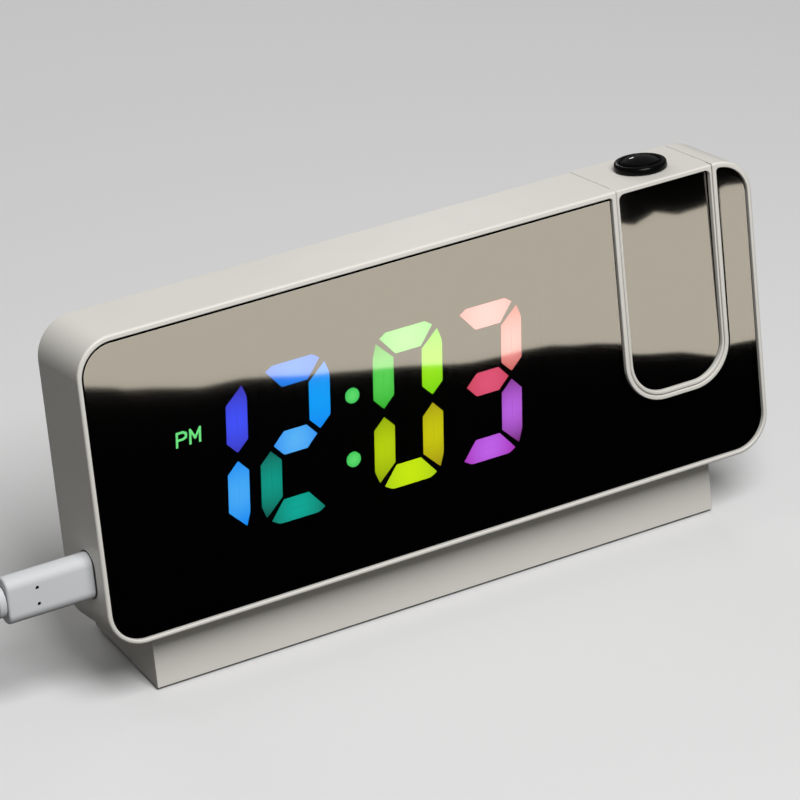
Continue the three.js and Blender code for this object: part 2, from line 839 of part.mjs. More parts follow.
// A foot pad, flat to the ground, in the stand's own upright frame with zero at its underside.
function makeFoot() {
  const shape = roundedRect(-footLength / 2, -footWidth / 2, footLength / 2, footWidth / 2, footWidth / 2);
  const options = { depth: footSink + footRise, bevelEnabled: false, curveSegments: arcSteps };
  return solidOf(new THREE.ExtrudeGeometry(shape, options).translate(0, 0, -footRise));
}

function makeStandScrew(x) {
  const headTop = standTop - standWall - fitGap;
  const tip = headTop + standWall + standScrewReach;
  return turnedZ([
    [0, headTop - screwHeadHeight],
    [screwHeadRadius, headTop - screwHeadHeight],
    [screwHeadRadius, headTop],
    [coverScrewRadius, headTop],
    [coverScrewRadius, tip],
    [0, tip],
  ], [x, standScrewY], smallSteps);
}

// Arm parts, drawn around the arm's middle plane and its own hinge height.
const armMirrorBack = armMirrorRecess + armMirrorThickness;
const armFloorFront = armMirrorBack + fitGap;
const armFloorBack = armFloorFront + armPlateThickness;
const armSplit = bodyDepth / 2;
const legFrontBack = legDepth - armWall - fitGap;
const opticsY = armSplit;
const armScrewZ = blockBottom - armScrewBelowHead;
const armScrews = [-1, 1].map((side) => [side * armScrewSpread, armScrewZ]);
const headTop = bodyHeight;
const barrelTop = headTop - armWall - fitGap;
const ringFoot = headTop + fitGap;
const ringTop = ringFoot + ringHeight;
const armHalf = armWidth / 2;

function mirrorOpening(inset) {
  const half = armHalf - armRimWidth - inset;
  const radius = armBottomRadius - armRimWidth - inset;
  const bottom = armBottom + armRimFoot + inset;
  const top = bodyHeight - armRimHead - inset;
  const topRadius = armMirrorTopRadius - inset;
  const shape = new THREE.Shape();
  shape.moveTo(-half + radius, bottom);
  shape.lineTo(half - radius, bottom);
  shape.absarc(half - radius, bottom + radius, radius, -Math.PI / 2, 0);
  shape.lineTo(half, top - topRadius);
  shape.absarc(half - topRadius, top - topRadius, topRadius, 0, Math.PI / 2);
  shape.lineTo(-half + topRadius, top);
  shape.absarc(-half + topRadius, top - topRadius, topRadius, Math.PI / 2, Math.PI);
  shape.lineTo(-half, bottom + radius);
  shape.absarc(-half + radius, bottom + radius, radius, Math.PI, Math.PI * 1.5);
  return shape;
}

const lensHoleRadius = barrelRadius + fitGap;

function makeArmFront() {
  const headFloor = blockBottom + armWall + fitGap;
  const back = armSplit - fitGap / 2;
  const body = unite(
    plate(armOutline(0, headTop), 0, legFrontBack),
    box([-armHalf, legFrontBack - armWall, headFloor], [armHalf, back, headTop]),
  );
  const inner = armHalf - armWall;
  const bosses = [-1, 1].map((side) => block(
    [hingePinReach, hingeBossDepth, hingeBossHeight],
    [side * (armHalf - hingePinReach / 2), armFloorFront + hingeBossDepth / 2, hingeZ],
  ));
  const pinHoles = barX(
    hingePinRadius + hingePinClearance,
    [hingeDepth, hingeZ],
    -armHalf - overrun,
    armHalf + overrun,
  );
  const hollow = unite(
    plate(armOutline(-armWall, headTop - armWall), armFloorBack, legFrontBack + overrun),
    box([-inner, armFloorBack, headFloor + armWall], [inner, back + overrun, headTop - armWall]),
  );
  const floor = box(
    [-inner, legFrontBack - armWall, headFloor],
    [inner, back, headFloor + armWall],
  );
  const screwBosses = armScrews.map((place) => (
    barY(armBossRadius, place, armFloorBack - fitGap, legFrontBack, smallSteps)
  ));
  return cut(
    unite(cut(body, hollow), floor, ...bosses, ...screwBosses),
    plate(mirrorOpening(0), -overrun, armFloorFront),
    pinHoles,
    barZ(lensHoleRadius, [0, opticsY], barrelTop - overrun, headTop + overrun, roundSteps),
    ...armScrews.map((place) => barY(holeRadius, place, armFloorBack, legDepth, smallSteps)),
  );
}

function makeArmRear() {
  const front = armSplit + fitGap / 2;
  const legFront = legDepth - armWall;
  const inner = armHalf - armWall;
  return cut(
    unite(
      box([-armHalf, front, blockBottom], [armHalf, bodyDepth, headTop]),
      box([-armHalf, legFront, blockBottom], [armHalf, front + armWall, blockBottom + armWall]),
      plate(armOutline(0, blockBottom + armWall), legFront, legDepth),
    ),
    box([-inner, front - overrun, blockBottom + armWall], [inner, bodyDepth - armWall, headTop - armWall]),
    barZ(lensHoleRadius, [0, opticsY], barrelTop - overrun, headTop + overrun, roundSteps),
    ...armScrews.flatMap((place) => [
      barY(holeRadius, place, legFront - overrun, legDepth + overrun, smallSteps),
      barY(screwHeadRadius + fitGap, place, legDepth - armScrewHeadHeight, legDepth + overrun, smallSteps),
    ]),
  );
}

function makeArmScrew(place) {
  const headFront = legDepth - armScrewHeadHeight + fitGap;
  return unite(
    barY(coverScrewRadius, place, armFloorBack + fitGap, headFront + fitGap / 2, smallSteps),
    barY(screwHeadRadius, place, headFront, legDepth, smallSteps),
  );
}

function makeHingePin(side) {
  const outer = side * (bayHalf + bayRimWidth + hingeBossLength);
  const inner = side * (armHalf - hingePinReach);
  return barX(hingePinRadius, [hingeDepth, hingeZ], Math.min(inner, outer), Math.max(inner, outer));
}

// Optics, from the board up to the domed lens. Each rests one gap above the last or in the shells' walls.
const barrelBottom = barrelTop - barrelLength;
const boardLift = blockBottom + armWall + fitGap;
const cellHeadBottom = ringFoot + focusTravel + fitGap;
const cellHeadTop = cellHeadBottom + cellHeadHeight;

function makeProjectorBoard() {
  const floor = boardLift + armWall + fitGap;
  const middle = floor + boardThickness / 2;
  const led = floor + boardThickness + ledHeight / 2;
  const depth = Math.min(projectorBoardDepth, 2 * (opticsY - armFloorBack - fitGap));
  return unite(
    block([projectorBoardWidth, depth, boardThickness], [0, opticsY, middle]),
    block([ledSize, ledSize, ledHeight + boardThickness], [0, opticsY, led - boardThickness / 2]),
  );
}

const condenserBottom = barrelBottom - fitGap - lcdThickness - fitGap - condenserThickness;

function makeCondenser() {
  const side = condenserShares.map(([across, up]) => (
    [across * condenserRadius, condenserBottom + up * condenserThickness]
  ));
  return turnedZ([
    [0, condenserBottom],
    ...side,
    [0, condenserBottom + condenserThickness],
  ], [0, opticsY]);
}

function makeLcd() {
  const middle = condenserBottom + condenserThickness + fitGap + lcdThickness / 2;
  return block([lcdWidth, lcdWidth, lcdThickness], [0, opticsY, middle]);
}

function makeBarrel() {
  const flange = barrelTop - boardThickness;
  return turnedZ([
    [barrelBore, barrelBottom],
    [barrelRadius, barrelBottom],
    [barrelRadius, flange],
    [ringFootRadius, flange],
    [ringFootRadius, barrelTop],
    [barrelRadius, barrelTop],
    [barrelRadius, headTop],
    [barrelBore, headTop],
    [barrelBore, barrelBottom],
  ], [0, opticsY]);
}

function makeLensCell() {
  const bottom = cellHeadBottom - cellShankLength;
  const seat = cellHeadTop - cellRim;
  return turnedZ([
    [cellShankBore, bottom],
    [cellShankRadius, bottom],
    [cellShankRadius, cellHeadBottom],
    [cellHeadRadius, cellHeadBottom],
    [cellHeadRadius, cellHeadTop],
    [domeRadius + fitGap, cellHeadTop],
    [domeRadius + fitGap, seat],
    [cellShankBore, seat],
    [cellShankBore, bottom],
  ], [0, opticsY]);
}

function makeDome() {
  const base = cellHeadTop - cellRim + fitGap;
  const arc = (domeRadius ** 2 + domeRise ** 2) / (2 * domeRise);
  const sweep = Math.asin(domeRadius / arc);
  const steps = arcSteps;
  const cap = Array.from({ length: steps + 1 }, (_, i) => {
    const angle = sweep * (1 - i / steps);
    return [arc * Math.sin(angle), base + domeRise - arc * (1 - Math.cos(angle))];
  });
  cap[steps] = [0, base + domeRise];
  return turnedZ([[0, base], ...cap], [0, opticsY]);
}

function makeFocusRing() {
  return turnedZ([
    [ringBoreRadius, ringFoot],
    [ringFootRadius, ringFoot],
    [ringTopRadius + ringEdge / 2, ringTop - ringEdge],
    [ringTopRadius - ringEdge, ringTop],
    [ringBoreRadius, ringTop],
    [ringBoreRadius, ringFoot],
  ], [0, opticsY]);
}

// A block along x on the middle line of the socket and the plug.
function sideBlock(left, right, thickness, width) {
  return box(
    [left, socketDepth - thickness / 2, socketHeight - width / 2],
    [right, socketDepth + thickness / 2, socketHeight + width / 2],
  );
}

// The socket: a shell open to the side, with a contact blade that the plug's mouth goes over.
function makeSocket() {
  const mouth = -halfWidth + socketMouth;
  const end = mouth + socketLength;
  const floor = end - socketWall;
  return unite(
    cut(
      sideBlock(mouth, end, socketThickness, socketWidth),
      sideBlock(mouth - overrun, floor, socketThickness - 2 * socketWall, socketWidth - 2 * socketWall),
    ),
    sideBlock(
      floor - tongueMouthDepth + fitGap,
      end - socketWall / 2,
      tongueThickness - 2 * (tongueWall + fitGap),
      tongueWidth - 2 * (tongueWall + fitGap),
    ),
  );
}

function makeUsbBoard() {
  const front = socketDepth + socketThickness / 2 + fitGap;
  const x0 = -halfWidth + wall + fitGap;
  return box(
    [x0, front, socketHeight - usbBoardWidth / 2],
    [x0 + usbBoardLength, front + usbBoardThickness, socketHeight + usbBoardWidth / 2],
  );
}

const plugNear = -halfWidth - plugStandOff;
const plugFar = plugNear - plugLength;

function makePlugTongue() {
  const foot = plugNear + fitGap;
  const tip = foot + tongueLength;
  return cut(
    sideBlock(foot, tip, tongueThickness, tongueWidth),
    sideBlock(
      tip - tongueMouthDepth,
      tip + overrun,
      tongueThickness - 2 * tongueWall,
      tongueWidth - 2 * tongueWall,
    ),
  );
}

function makePlugBody() {
  const front = socketDepth - plugThickness / 2;
  const dots = [-1, 1].map((side) => barY(
    plugDotRadius,
    [plugNear - plugDotSetback, socketHeight + side * plugDotSpread / 2],
    front - overrun,
    front + plugDotDepth,
    arcSteps,
  ));
  return cut(sideSlot(plugThickness, plugWidth, plugCorner, plugFar, plugNear), ...dots);
}

// The ribbed strain relief, flattened front to back, tapering away from the plug.
function makeStrainRelief() {
  const step = reliefLength / (2 * reliefRibs);
  const profile = [[0, 0]];
  for (let i = 0; i < 2 * reliefRibs; i += 1) {
    const taper = reliefStart + (reliefEnd - reliefStart) * (i / (2 * reliefRibs));
    const radius = i % 2 ? taper - reliefGroove : taper;
    profile.push([radius, i * step], [radius, (i + 1) * step]);
  }
  profile.push([0, reliefLength]);
  const geometry = new THREE.LatheGeometry(profile.map(([r, y]) => new THREE.Vector2(r, y)), roundSteps);
  geometry.rotateZ(Math.PI / 2).scale(1, reliefFlatShare, 1);
  return solidOf(geometry.translate(plugFar - fitGap, socketDepth, socketHeight));
}

// Where the coil's last turn ends, and the way that the tail points when it has turned inwards.
const coilEndAngle = coilTurns * fullTurn;
const tailEndAngle = coilEndAngle + tailRound / coilOuter + tailTurnShare * fullTurn;
const tailEndHeight = coilFloor + coilPitch + cordDiameter / 2 + fitGap + farPlugThickness / 2;

// A place at a distance along the tail: round the coil at first, then across it in a tighter turn.
function tailPlace(distance) {
  const leave = coilEndAngle + Math.min(distance, tailRound) / coilOuter;
  const angle = leave + Math.max(distance - tailRound, 0) / tailRadius;
  const reach = coilOuter - tailRadius;
  return [
    coilX - reach * Math.sin(leave) - tailRadius * Math.sin(angle),
    coilY - reach * Math.cos(leave) - tailRadius * Math.cos(angle),
  ];
}

// The coil's middle line: a straight start, the spiral, and a tail that climbs to the far plug on the turns.
function coilPath() {
  const half = coilEndAngle / 2;
  const points = [new THREE.Vector3(coilX + cordDiameter, coilY - coilOuter, coilFloor)];
  const steps = Math.round(coilTurns * coilSteps);
  for (let i = 0; i <= steps; i += 1) {
    const turned = (i / steps) * coilEndAngle;
    const fromInside = Math.abs(turned - half);
    const radius = coilOuter - (coilPitch * (half - fromInside)) / fullTurn;
    const climb = THREE.MathUtils.clamp((turned - half) / Math.PI + 1 / 2, 0, 1);
    points.push(new THREE.Vector3(
      coilX - radius * Math.sin(turned),
      coilY - radius * Math.cos(turned),
      coilFloor + coilPitch * climb,
    ));
  }
  const top = coilFloor + coilPitch;
  const tailLength = tailRound + tailRadius * tailTurnShare * fullTurn;
  for (let i = 1; i <= tailSteps; i += 1) {
    const share = i / tailSteps;
    const rise = THREE.MathUtils.smoothstep(share, 0, 1) * (tailEndHeight - top);
    points.push(new THREE.Vector3(...tailPlace(share * tailLength), top + rise));
  }
  const along = new THREE.Vector3(-Math.cos(tailEndAngle), Math.sin(tailEndAngle), 0);
  points.push(points.at(-1).clone().addScaledVector(along, cordDiameter));
  return points;
}

const coilPoints = coilPath();

// A closed tube through rings of points, each ring square to the path and level.
function tubeThrough(points, radius, sides) {
  const positions = [];
  const index = [];
  points.forEach((point, i) => {
    const before = points[Math.max(i - 1, 0)];
    const after = points[Math.min(i + 1, points.length - 1)];
    const along = after.clone().sub(before).normalize();
    const across = new THREE.Vector3(0, 0, 1).cross(along).normalize();
    const above = along.clone().cross(across);
    for (let k = 0; k < sides; k += 1) {
      const angle = ((k + 1 / 2) / sides) * fullTurn;
      const corner = point.clone()
        .addScaledVector(across, radius * Math.cos(angle))
        .addScaledVector(above, radius * Math.sin(angle));
      positions.push(...corner.toArray());
    }
  });
  const ringAt = (i, k) => i * sides + (k % sides);
  for (let i = 0; i + 1 < points.length; i += 1) {
    for (let k = 0; k < sides; k += 1) {
      index.push(ringAt(i, k), ringAt(i, k + 1), ringAt(i + 1, k));
      index.push(ringAt(i, k + 1), ringAt(i + 1, k + 1), ringAt(i + 1, k));
    }
  }
  const last = points.length - 1;
  for (let k = 1; k + 1 < sides; k += 1) {
    index.push(ringAt(0, 0), ringAt(0, k + 1), ringAt(0, k));
    index.push(ringAt(last, 0), ringAt(last, k), ringAt(last, k + 1));
  }
  const geometry = new THREE.BufferGeometry();
  geometry.setAttribute('position', new THREE.Float32BufferAttribute(positions, 3));
  geometry.setIndex(index);
  return solidOf(geometry);
}

// Least distance between the tube's surface and itself, over points more than half a loop apart.
function leastSelfGap(points, diameter) {
  let least = Infinity;
  points.forEach((p, i) => {
    for (let j = i + coilSteps / 2; j < points.length; j += 1) {
      const before = points[j - 1];
      const after = points[j];
      const nearest = new THREE.Line3(before, after).closestPointToPoint(p, true, new THREE.Vector3());
      least = Math.min(least, nearest.distanceTo(p) - diameter);
    }
  });
  return least;
}

function makeCordTube() {
  const route = new THREE.CatmullRomCurve3(cordRoute.map((p) => new THREE.Vector3(...p)));
  const section = new THREE.Shape(Array.from({ length: cordSides }, (_, k) => {
    const angle = (k / cordSides) * fullTurn;
    return new THREE.Vector2(Math.cos(angle), Math.sin(angle)).multiplyScalar(cordDiameter / 2);
  }));
  const steps = Math.round(route.getLength() / (2 * cordDiameter));
  return solidOf(new THREE.ExtrudeGeometry(section, { steps, extrudePath: route, bevelEnabled: false }));
}

// The tie: a flat band round all the turns, at one place on the coil.
function makeTie() {
  const radius = cordDiameter / 2;
  const inner = coilOuter - (coilPitch * coilTurns) / 2 - radius - tieClearance;
  const outer = coilOuter + radius + tieClearance;
  const low = coilFloor - radius - tieClearance;
  const high = coilFloor + coilPitch + radius + tieClearance;
  const round = tieThickness + tieClearance;
  const band = roundedRect(
    inner - tieThickness,
    low - tieThickness,
    outer + tieThickness,
    high + tieThickness,
    round,
  );
  const options = { depth: tieWidth, bevelEnabled: false, curveSegments: slotSteps };
  band.holes.push(roundedRect(inner, low, outer, high, tieClearance));
  const geometry = new THREE.ExtrudeGeometry(band, options);
  geometry.rotateX(Math.PI / 2).translate(0, tieWidth / 2, 0).rotateZ(tieTurnShare * fullTurn);
  return solidOf(geometry.translate(coilX, coilY, 0));
}

// Lays a piece of the far plug, drawn back from the origin along y, on from the end of the tail.
function atTailEnd(solid) {
  const turn = THREE.MathUtils.radToDeg(Math.PI / 2 - tailEndAngle);
  return solid.rotate([0, 0, turn]).translate(coilPoints.at(-1).toArray());
}

function makeFarPlugBody() {
  const bodyStart = fitGap + farReliefLength;
  const across = farPlugWidth / 2;
  const above = farPlugThickness / 2;
  const shape = roundedRect(-across, -above, across, above, farPlugCorner);
  return unite(
    plate(shape, bodyStart, bodyStart + farPlugLength),
    barY(farReliefRadius, [0, 0], fitGap, bodyStart + farPlugCorner, smallSteps),
  );
}

function makeFarShell() {
  const start = farReliefLength + farPlugLength + 2 * fitGap;
  const middle = start + farShellLength / 2;
  const thin = 2 * farShellWall;
  const floor = (farShellWall - farShellThickness) / 2;
  const tongueHalf = (farShellWidth - farShellWall) / 2;
  return unite(
    cut(
      block([farShellWidth, farShellLength, farShellThickness], [0, middle, 0]),
      block(
        [farShellWidth - thin, farShellLength, farShellThickness - thin],
        [0, middle + farShellWall, 0],
      ),
    ),
    box(
      [-tongueHalf, start + farShellWall / 2, floor],
      [tongueHalf, start + farShellLength - farTongueThickness, floor + farTongueThickness],
    ),
  );
}

// Fixed pieces of the clock.
addMesh(clock, 'housing', makeHousing(), shellWhite, 0.45);
addMesh(clock, 'rear_cover', makeRearCover(), shellWhite, 0.5);
addMesh(clock, 'mirror_panel', makeMirrorPanel(), mirrorGrey, 0.05, 0.9);
addMesh(clock, 'display_mask', makeMask(), maskBlack, 0.7);
digitCells.forEach(({ x, half }, i) => {
  const faces = digitSegments(i, fitGap);
  const backing = slantedOutline(x, half, diffuserRim);
  addMesh(clock, `digit_diffuser_${i + 1}`, makeDiffuser(backing, faces), diffuserWhite, 0.6);
});
const colonBacking = slantedOutline(colonCentre, colonDotRadius, diffuserRim);
addMesh(clock, 'colon_diffuser', makeDiffuser(colonBacking, colonDots(fitGap)), diffuserWhite, 0.6);
const indicator = makeDiffuser(indicatorOutline(-diffuserRim), [indicatorOutline(fitGap)]);
addMesh(clock, 'indicator_diffuser', indicator, diffuserWhite, 0.6);
addMesh(clock, 'light_reflector', makeReflector(), diffuserWhite, 0.6);
addMesh(clock, 'main_board', makeMainBoard(), boardGreen, 0.6);
addMesh(clock, 'battery_holder', makeBatteryHolder(), maskBlack, 0.6);
addMesh(clock, 'coin_cell', barY(cellRadius, batteryPlace, cellFront, holderBack), steelGrey, 0.3, 1);
addMesh(clock, 'battery_door', makeBatteryDoor(), shellWhite, 0.5);
const speakerBack = coverFront - fitGap;
const speaker = barY(speakerRadius, speakerPlace, speakerBack - speakerThickness, speakerBack);
addMesh(clock, 'speaker', speaker, maskBlack, 0.6);
buttons.forEach(({ use, place }) => addMesh(clock, `button_${use}`, makeButton(place), shellWhite, 0.5));
coverScrews.forEach((place, i) => {
  addMesh(clock, `cover_screw_${i + 1}`, makeCoverScrew(place), steelGrey, 0.35, 1);
});
addMesh(clock, 'usb_socket', makeSocket(), steelGrey, 0.3, 1);
addMesh(clock, 'usb_board', makeUsbBoard(), boardGreen, 0.6);

// Stand.
addMesh(clock, 'stand_front', makeStandFront(), shellWhite, 0.5);
addMesh(clock, 'stand_rear', makeStandRear(), shellWhite, 0.5);
addMesh(clock, 'stand_plate', makeStandPlate(), shellWhite, 0.5);
standScrews.forEach((x, i) => addMesh(clock, `stand_screw_${i + 1}`, makeStandScrew(x), steelGrey, 0.35, 1));
const footX = halfWidth - standInset - standWall - fitGap - footInset;
const footEdge = standWall + footSetback + footWidth / 2;
const footYs = [standFront + footEdge, standEnd - footEdge];
const feet = footYs.flatMap((y) => [-footX, footX].map((x) => [x, y]));
feet.forEach(([x, y], i) => {
  const foot = addMesh(clock, `rubber_foot_${i + 1}`, makeFoot(), rubberGrey, 0.85);
  foot.position.set(x, y, underside(y));
  foot.rotation.x = lean;
});

// Projector arm.
addMesh(arm, 'arm_front', makeArmFront(), shellWhite, 0.45);
addMesh(arm, 'arm_rear', makeArmRear(), shellWhite, 0.45);
const armMirror = plate(mirrorOpening(fitGap), armMirrorRecess, armMirrorBack);
addMesh(arm, 'arm_mirror', armMirror, mirrorGrey, 0.05, 0.9);
armScrews.forEach((place, i) => {
  addMesh(arm, `arm_screw_${i + 1}`, makeArmScrew(place), steelGrey, 0.35, 1);
});
addMesh(arm, 'hinge_pin_left', makeHingePin(-1), steelGrey, 0.3, 1);
addMesh(arm, 'hinge_pin_right', makeHingePin(1), steelGrey, 0.3, 1);
addMesh(arm, 'projector_board', makeProjectorBoard(), boardGreen, 0.6);
addMesh(arm, 'condenser_lens', makeCondenser(), diffuserWhite, 0.05);
addMesh(arm, 'projector_lcd', makeLcd(), mirrorGrey, 0.1);
addMesh(arm, 'lens_barrel', makeBarrel(), maskBlack, 0.5);
addMesh(arm, 'lens_cell', makeLensCell(), lensBlack, 0.3);
addMesh(arm, 'projector_lens', makeDome(), lensBlack, 0.03);
addMesh(arm, 'focus_ring', makeFocusRing(), lensBlack, 0.25);
arm.position.x = armX;
clock.add(arm);

// Lead: the plug stays in the clock's frame, and the rest lies in the level one.
addMesh(clock, 'plug_tongue', makePlugTongue(), steelGrey, 0.3, 1);
addMesh(clock, 'plug_body', makePlugBody(), leadWhite, 0.5);
addMesh(clock, 'strain_relief', makeStrainRelief(), leadWhite, 0.5);
addMesh(lead, 'cord_tube', makeCordTube(), leadWhite, 0.5);
addMesh(lead, 'cord_coil', tubeThrough(coilPoints, cordDiameter / 2, coilSides), leadWhite, 0.5);
addMesh(lead, 'cord_tie', makeTie(), maskBlack, 0.7);
addMesh(lead, 'usb_a_body', atTailEnd(makeFarPlugBody()), leadWhite, 0.5);
addMesh(lead, 'usb_a_shell', atTailEnd(makeFarShell()), steelGrey, 0.3, 1);
console.log(`least gap of the coil to itself: ${leastSelfGap(coilPoints, cordDiameter).toFixed(2)} mm`);

// Stand the clock on the ground: its outer box is centred on the origin and its feet are at height zero.
const standEndTop = underside(standEnd) + standEndHeight;
const foremost = edgeBevel * Math.sin(lean);
const deepest = standEnd * Math.cos(lean) + standEndTop * Math.sin(lean);
const ground = standFront * Math.sin(lean) + standDrop * Math.cos(lean) + footRise;
clock.rotation.x = -lean;
clock.position.set(0, -(foremost + deepest) / 2, ground);

const part = new THREE.Group();
part.add(clock, lead);
part.updateMatrixWorld(true);

export default part;
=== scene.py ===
"""Projection alarm clock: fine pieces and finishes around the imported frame."""
import contextlib
import math

import bmesh
import bpy
from mathutils import Matrix, Vector


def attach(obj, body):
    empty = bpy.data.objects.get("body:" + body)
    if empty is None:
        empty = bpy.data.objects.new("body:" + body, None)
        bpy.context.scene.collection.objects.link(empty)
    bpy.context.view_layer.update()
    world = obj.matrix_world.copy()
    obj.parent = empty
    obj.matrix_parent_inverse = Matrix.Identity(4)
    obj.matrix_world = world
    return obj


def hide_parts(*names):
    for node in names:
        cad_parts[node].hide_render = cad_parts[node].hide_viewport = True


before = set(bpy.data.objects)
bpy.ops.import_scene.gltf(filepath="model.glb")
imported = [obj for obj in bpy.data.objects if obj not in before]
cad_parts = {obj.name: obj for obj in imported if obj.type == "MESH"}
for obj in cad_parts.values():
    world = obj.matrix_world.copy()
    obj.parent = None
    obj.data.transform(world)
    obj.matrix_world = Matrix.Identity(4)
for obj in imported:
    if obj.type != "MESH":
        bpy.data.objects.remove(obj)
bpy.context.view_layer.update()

# Sizes in millimetres, in the clock's own frame: x along the face, y from the face to the back and
# z up the face.
MM = 0.001
LEAN = math.radians(10.5)
GROUND_Y, GROUND_Z = -20.144, 18.81302
HALF = 98.8
TALL = 82.0
DEEP = 22.4
CORNER = 10.0
WALL = 2.0
LIP = 1.2
GAP = 0.3  # between parts that don't touch
OVER = 2.0  # how far a cutter passes the face that it opens
COVER_FRONT = DEEP - WALL
ARM_X = HALF - 26.5
ARM_HALF = 14.75
ARM_FOOT = 23.3
ARM_ROUND = 10.2
BAY_RIM = 1.35  # the wall round the arm's bay
HINGE = (4.6, 37.3)
PIN_BORE, PIN_REACH = 0.88, 22
SCREW_BORE = 1.15
TURN = 2 * math.pi
SQUARE = ((-1, -1), (1, -1), (1, 1), (-1, 1))

PLACE = (
    Matrix.Scale(MM, 4)
    @ Matrix.Translation((0, GROUND_Y, GROUND_Z))
    @ Matrix.Rotation(-LEAN, 4, "X")
)


def placed(name, data):
    """A new object in the scene."""
    made = bpy.data.objects.new(name, data)
    bpy.context.collection.objects.link(made)
    return made


# The camera, fitted to the photograph's straight edges.
EYE = Vector((-509.017, -854.297, 627.637))
RIGHT = Vector((0.859860, -0.510519, -0.003442))
UP = Vector((0.258259, 0.429147, 0.865526))
AHEAD = Vector((0.440390, 0.745120, -0.500853))
camera = placed("camera", bpy.data.cameras.new("camera"))
camera.matrix_world = Matrix.Translation(EYE * MM) @ Matrix((RIGHT, UP, -AHEAD)).transposed().to_4x4()
camera.data.lens = 201.11
camera.data.sensor_width = 36
camera.data.clip_start = 0.01
camera.data.clip_end = 20
bpy.context.scene.camera = camera


# ---- materials ----
def srgb(red, green, blue):
    def linear(value):
        value /= 255
        return value / 12.92 if value <= 0.04045 else ((value + 0.055) / 1.055) ** 2.4
    return (linear(red), linear(green), linear(blue), 1)


class Finish:
    """A node material around one Principled shader."""

    def __init__(self, name, color, roughness, **sockets):
        self.material = bpy.data.materials.new(name)
        self.material.use_nodes = True
        self.nodes = self.material.node_tree.nodes
        self.links = self.material.node_tree.links
        self.shader = self.nodes["Principled BSDF"]
        self.shader.inputs["Base Color"].default_value = color
        self.shader.inputs["Roughness"].default_value = roughness
        for socket, value in sockets.items():
            self.shader.inputs[socket.replace("_", " ")].default_value = value
        self.place = self.nodes.new("ShaderNodeTexCoord").outputs["Object"]

    def node(self, kind, **settings):
        made = self.nodes.new("ShaderNode" + kind)
        for key, value in settings.items():
            if hasattr(made, key):
                setattr(made, key, value)
            else:
                made.inputs[key.replace("_", " ")].default_value = value
        return made

    def noise(self, size, detail=4.0, stretch=(1, 1, 1)):
        scaled = self.node("Mapping", Scale=stretch)
        self.links.new(self.place, scaled.inputs["Vector"])
        noise = self.node("TexNoise", Scale=1 / (size * MM), Detail=detail)
        self.links.new(scaled.outputs["Vector"], noise.inputs["Vector"])
        return noise.outputs["Fac"]

    def ramp(self, value, low, first, high, second):
        """A colour that goes from first, at the value low, to second, at high."""
        ramp = self.node("ValToRGB")
        ends = ramp.color_ramp.elements
        ends[0].position, ends[0].color = low, first
        ends[1].position, ends[1].color = high, second
        self.links.new(value, ramp.inputs["Fac"])
        return ramp.outputs["Color"]

    def vary_color(self, size, first, second):
        color = self.ramp(self.noise(size), 0.3, first, 0.7, second)
        self.links.new(color, self.shader.inputs["Base Color"])

    def vary_roughness(self, size, low, high):
        spread = self.node("MapRange", To_Min=low, To_Max=high)
        self.links.new(self.noise(size), spread.inputs["Value"])
        self.links.new(spread.outputs["Result"], self.shader.inputs["Roughness"])

    def bump(self, size, height, stretch=(1, 1, 1)):
        bump = self.node("Bump", Strength=1.0, Distance=height * MM)
        self.links.new(self.noise(size, 2.0, stretch), bump.inputs["Height"])
        self.links.new(bump.outputs["Normal"], self.shader.inputs["Normal"])


def shade(color, share):
    return tuple(value * share for value in color[:3]) + (1,)


def plastic(name, color, roughness, grain=0.35, height=0.012, specular=0.5):
    finish = Finish(name, color, roughness, Specular_IOR_Level=specular)
    finish.vary_color(22, shade(color, 0.975), color)
    finish.vary_roughness(6, roughness - 0.05, roughness + 0.05)
    finish.bump(grain, height)
    return finish.material


WHITE = plastic("shell_white_satin", srgb(226, 223, 216), 0.42)
LEAD_WHITE = plastic("lead_white", srgb(209, 211, 213), 0.52, 0.25, 0.008, 0.35)
JACKET_WHITE = plastic("jacket_white", srgb(218, 219, 221), 0.5, 0.5, 0.015)
BLACK = plastic("mask_black", srgb(9, 9, 10), 0.6, 0.3, 0.01, 0.2)
# Black film and mask, also used for painted shade: the mirrors' gaskets and the discs in the plug's pits.
FILM_AND_SHADE = plastic("film_and_shade_black", srgb(3, 3, 3), 0.8, 0.3, 0.004, 0.05)
LENS_BLACK = plastic("optics_black", srgb(3, 3, 3), 0.22, 0.25, 0.004, 0.14)
DIFFUSER = plastic("diffuser_dull", srgb(4, 4, 4), 0.7, 0.3, 0.006, 0.05)
REFLECTOR = plastic("reflector_white", srgb(210, 210, 206), 0.5)
BOARD = plastic("board_green", srgb(26, 74, 46), 0.45, 1.2, 0.03)
RUBBER = plastic("foot_rubber", srgb(44, 44, 46), 0.8, 0.4, 0.03, 0.3)


def metal(name, color, roughness):
    finish = Finish(name, color, roughness, Metallic=1)
    finish.vary_roughness(3, roughness - 0.06, roughness + 0.08)
    finish.bump(0.6, 0.006, (1, 6, 1))
    return finish.material


def glossy(name, color, roughness, spread, **sockets):
    finish = Finish(name, color, roughness, **sockets)
    finish.vary_roughness(*spread)
    return finish.material


STEEL = metal("steel_plain", srgb(176, 178, 180), 0.32)
MIRROR = glossy("half_mirror_film", srgb(214, 212, 206), 0.045, (40, 0.04, 0.05), Metallic=1, Alpha=0.52)
CLEAR = glossy(
    "mirror_body_clear", srgb(20, 22, 21), 0.04, (30, 0.03, 0.06), Alpha=0.03, Specular_IOR_Level=0.2
)
GLASS = glossy("dome_glass", srgb(2, 2, 3), 0.03, (8, 0.02, 0.05), Specular_IOR_Level=0.3)

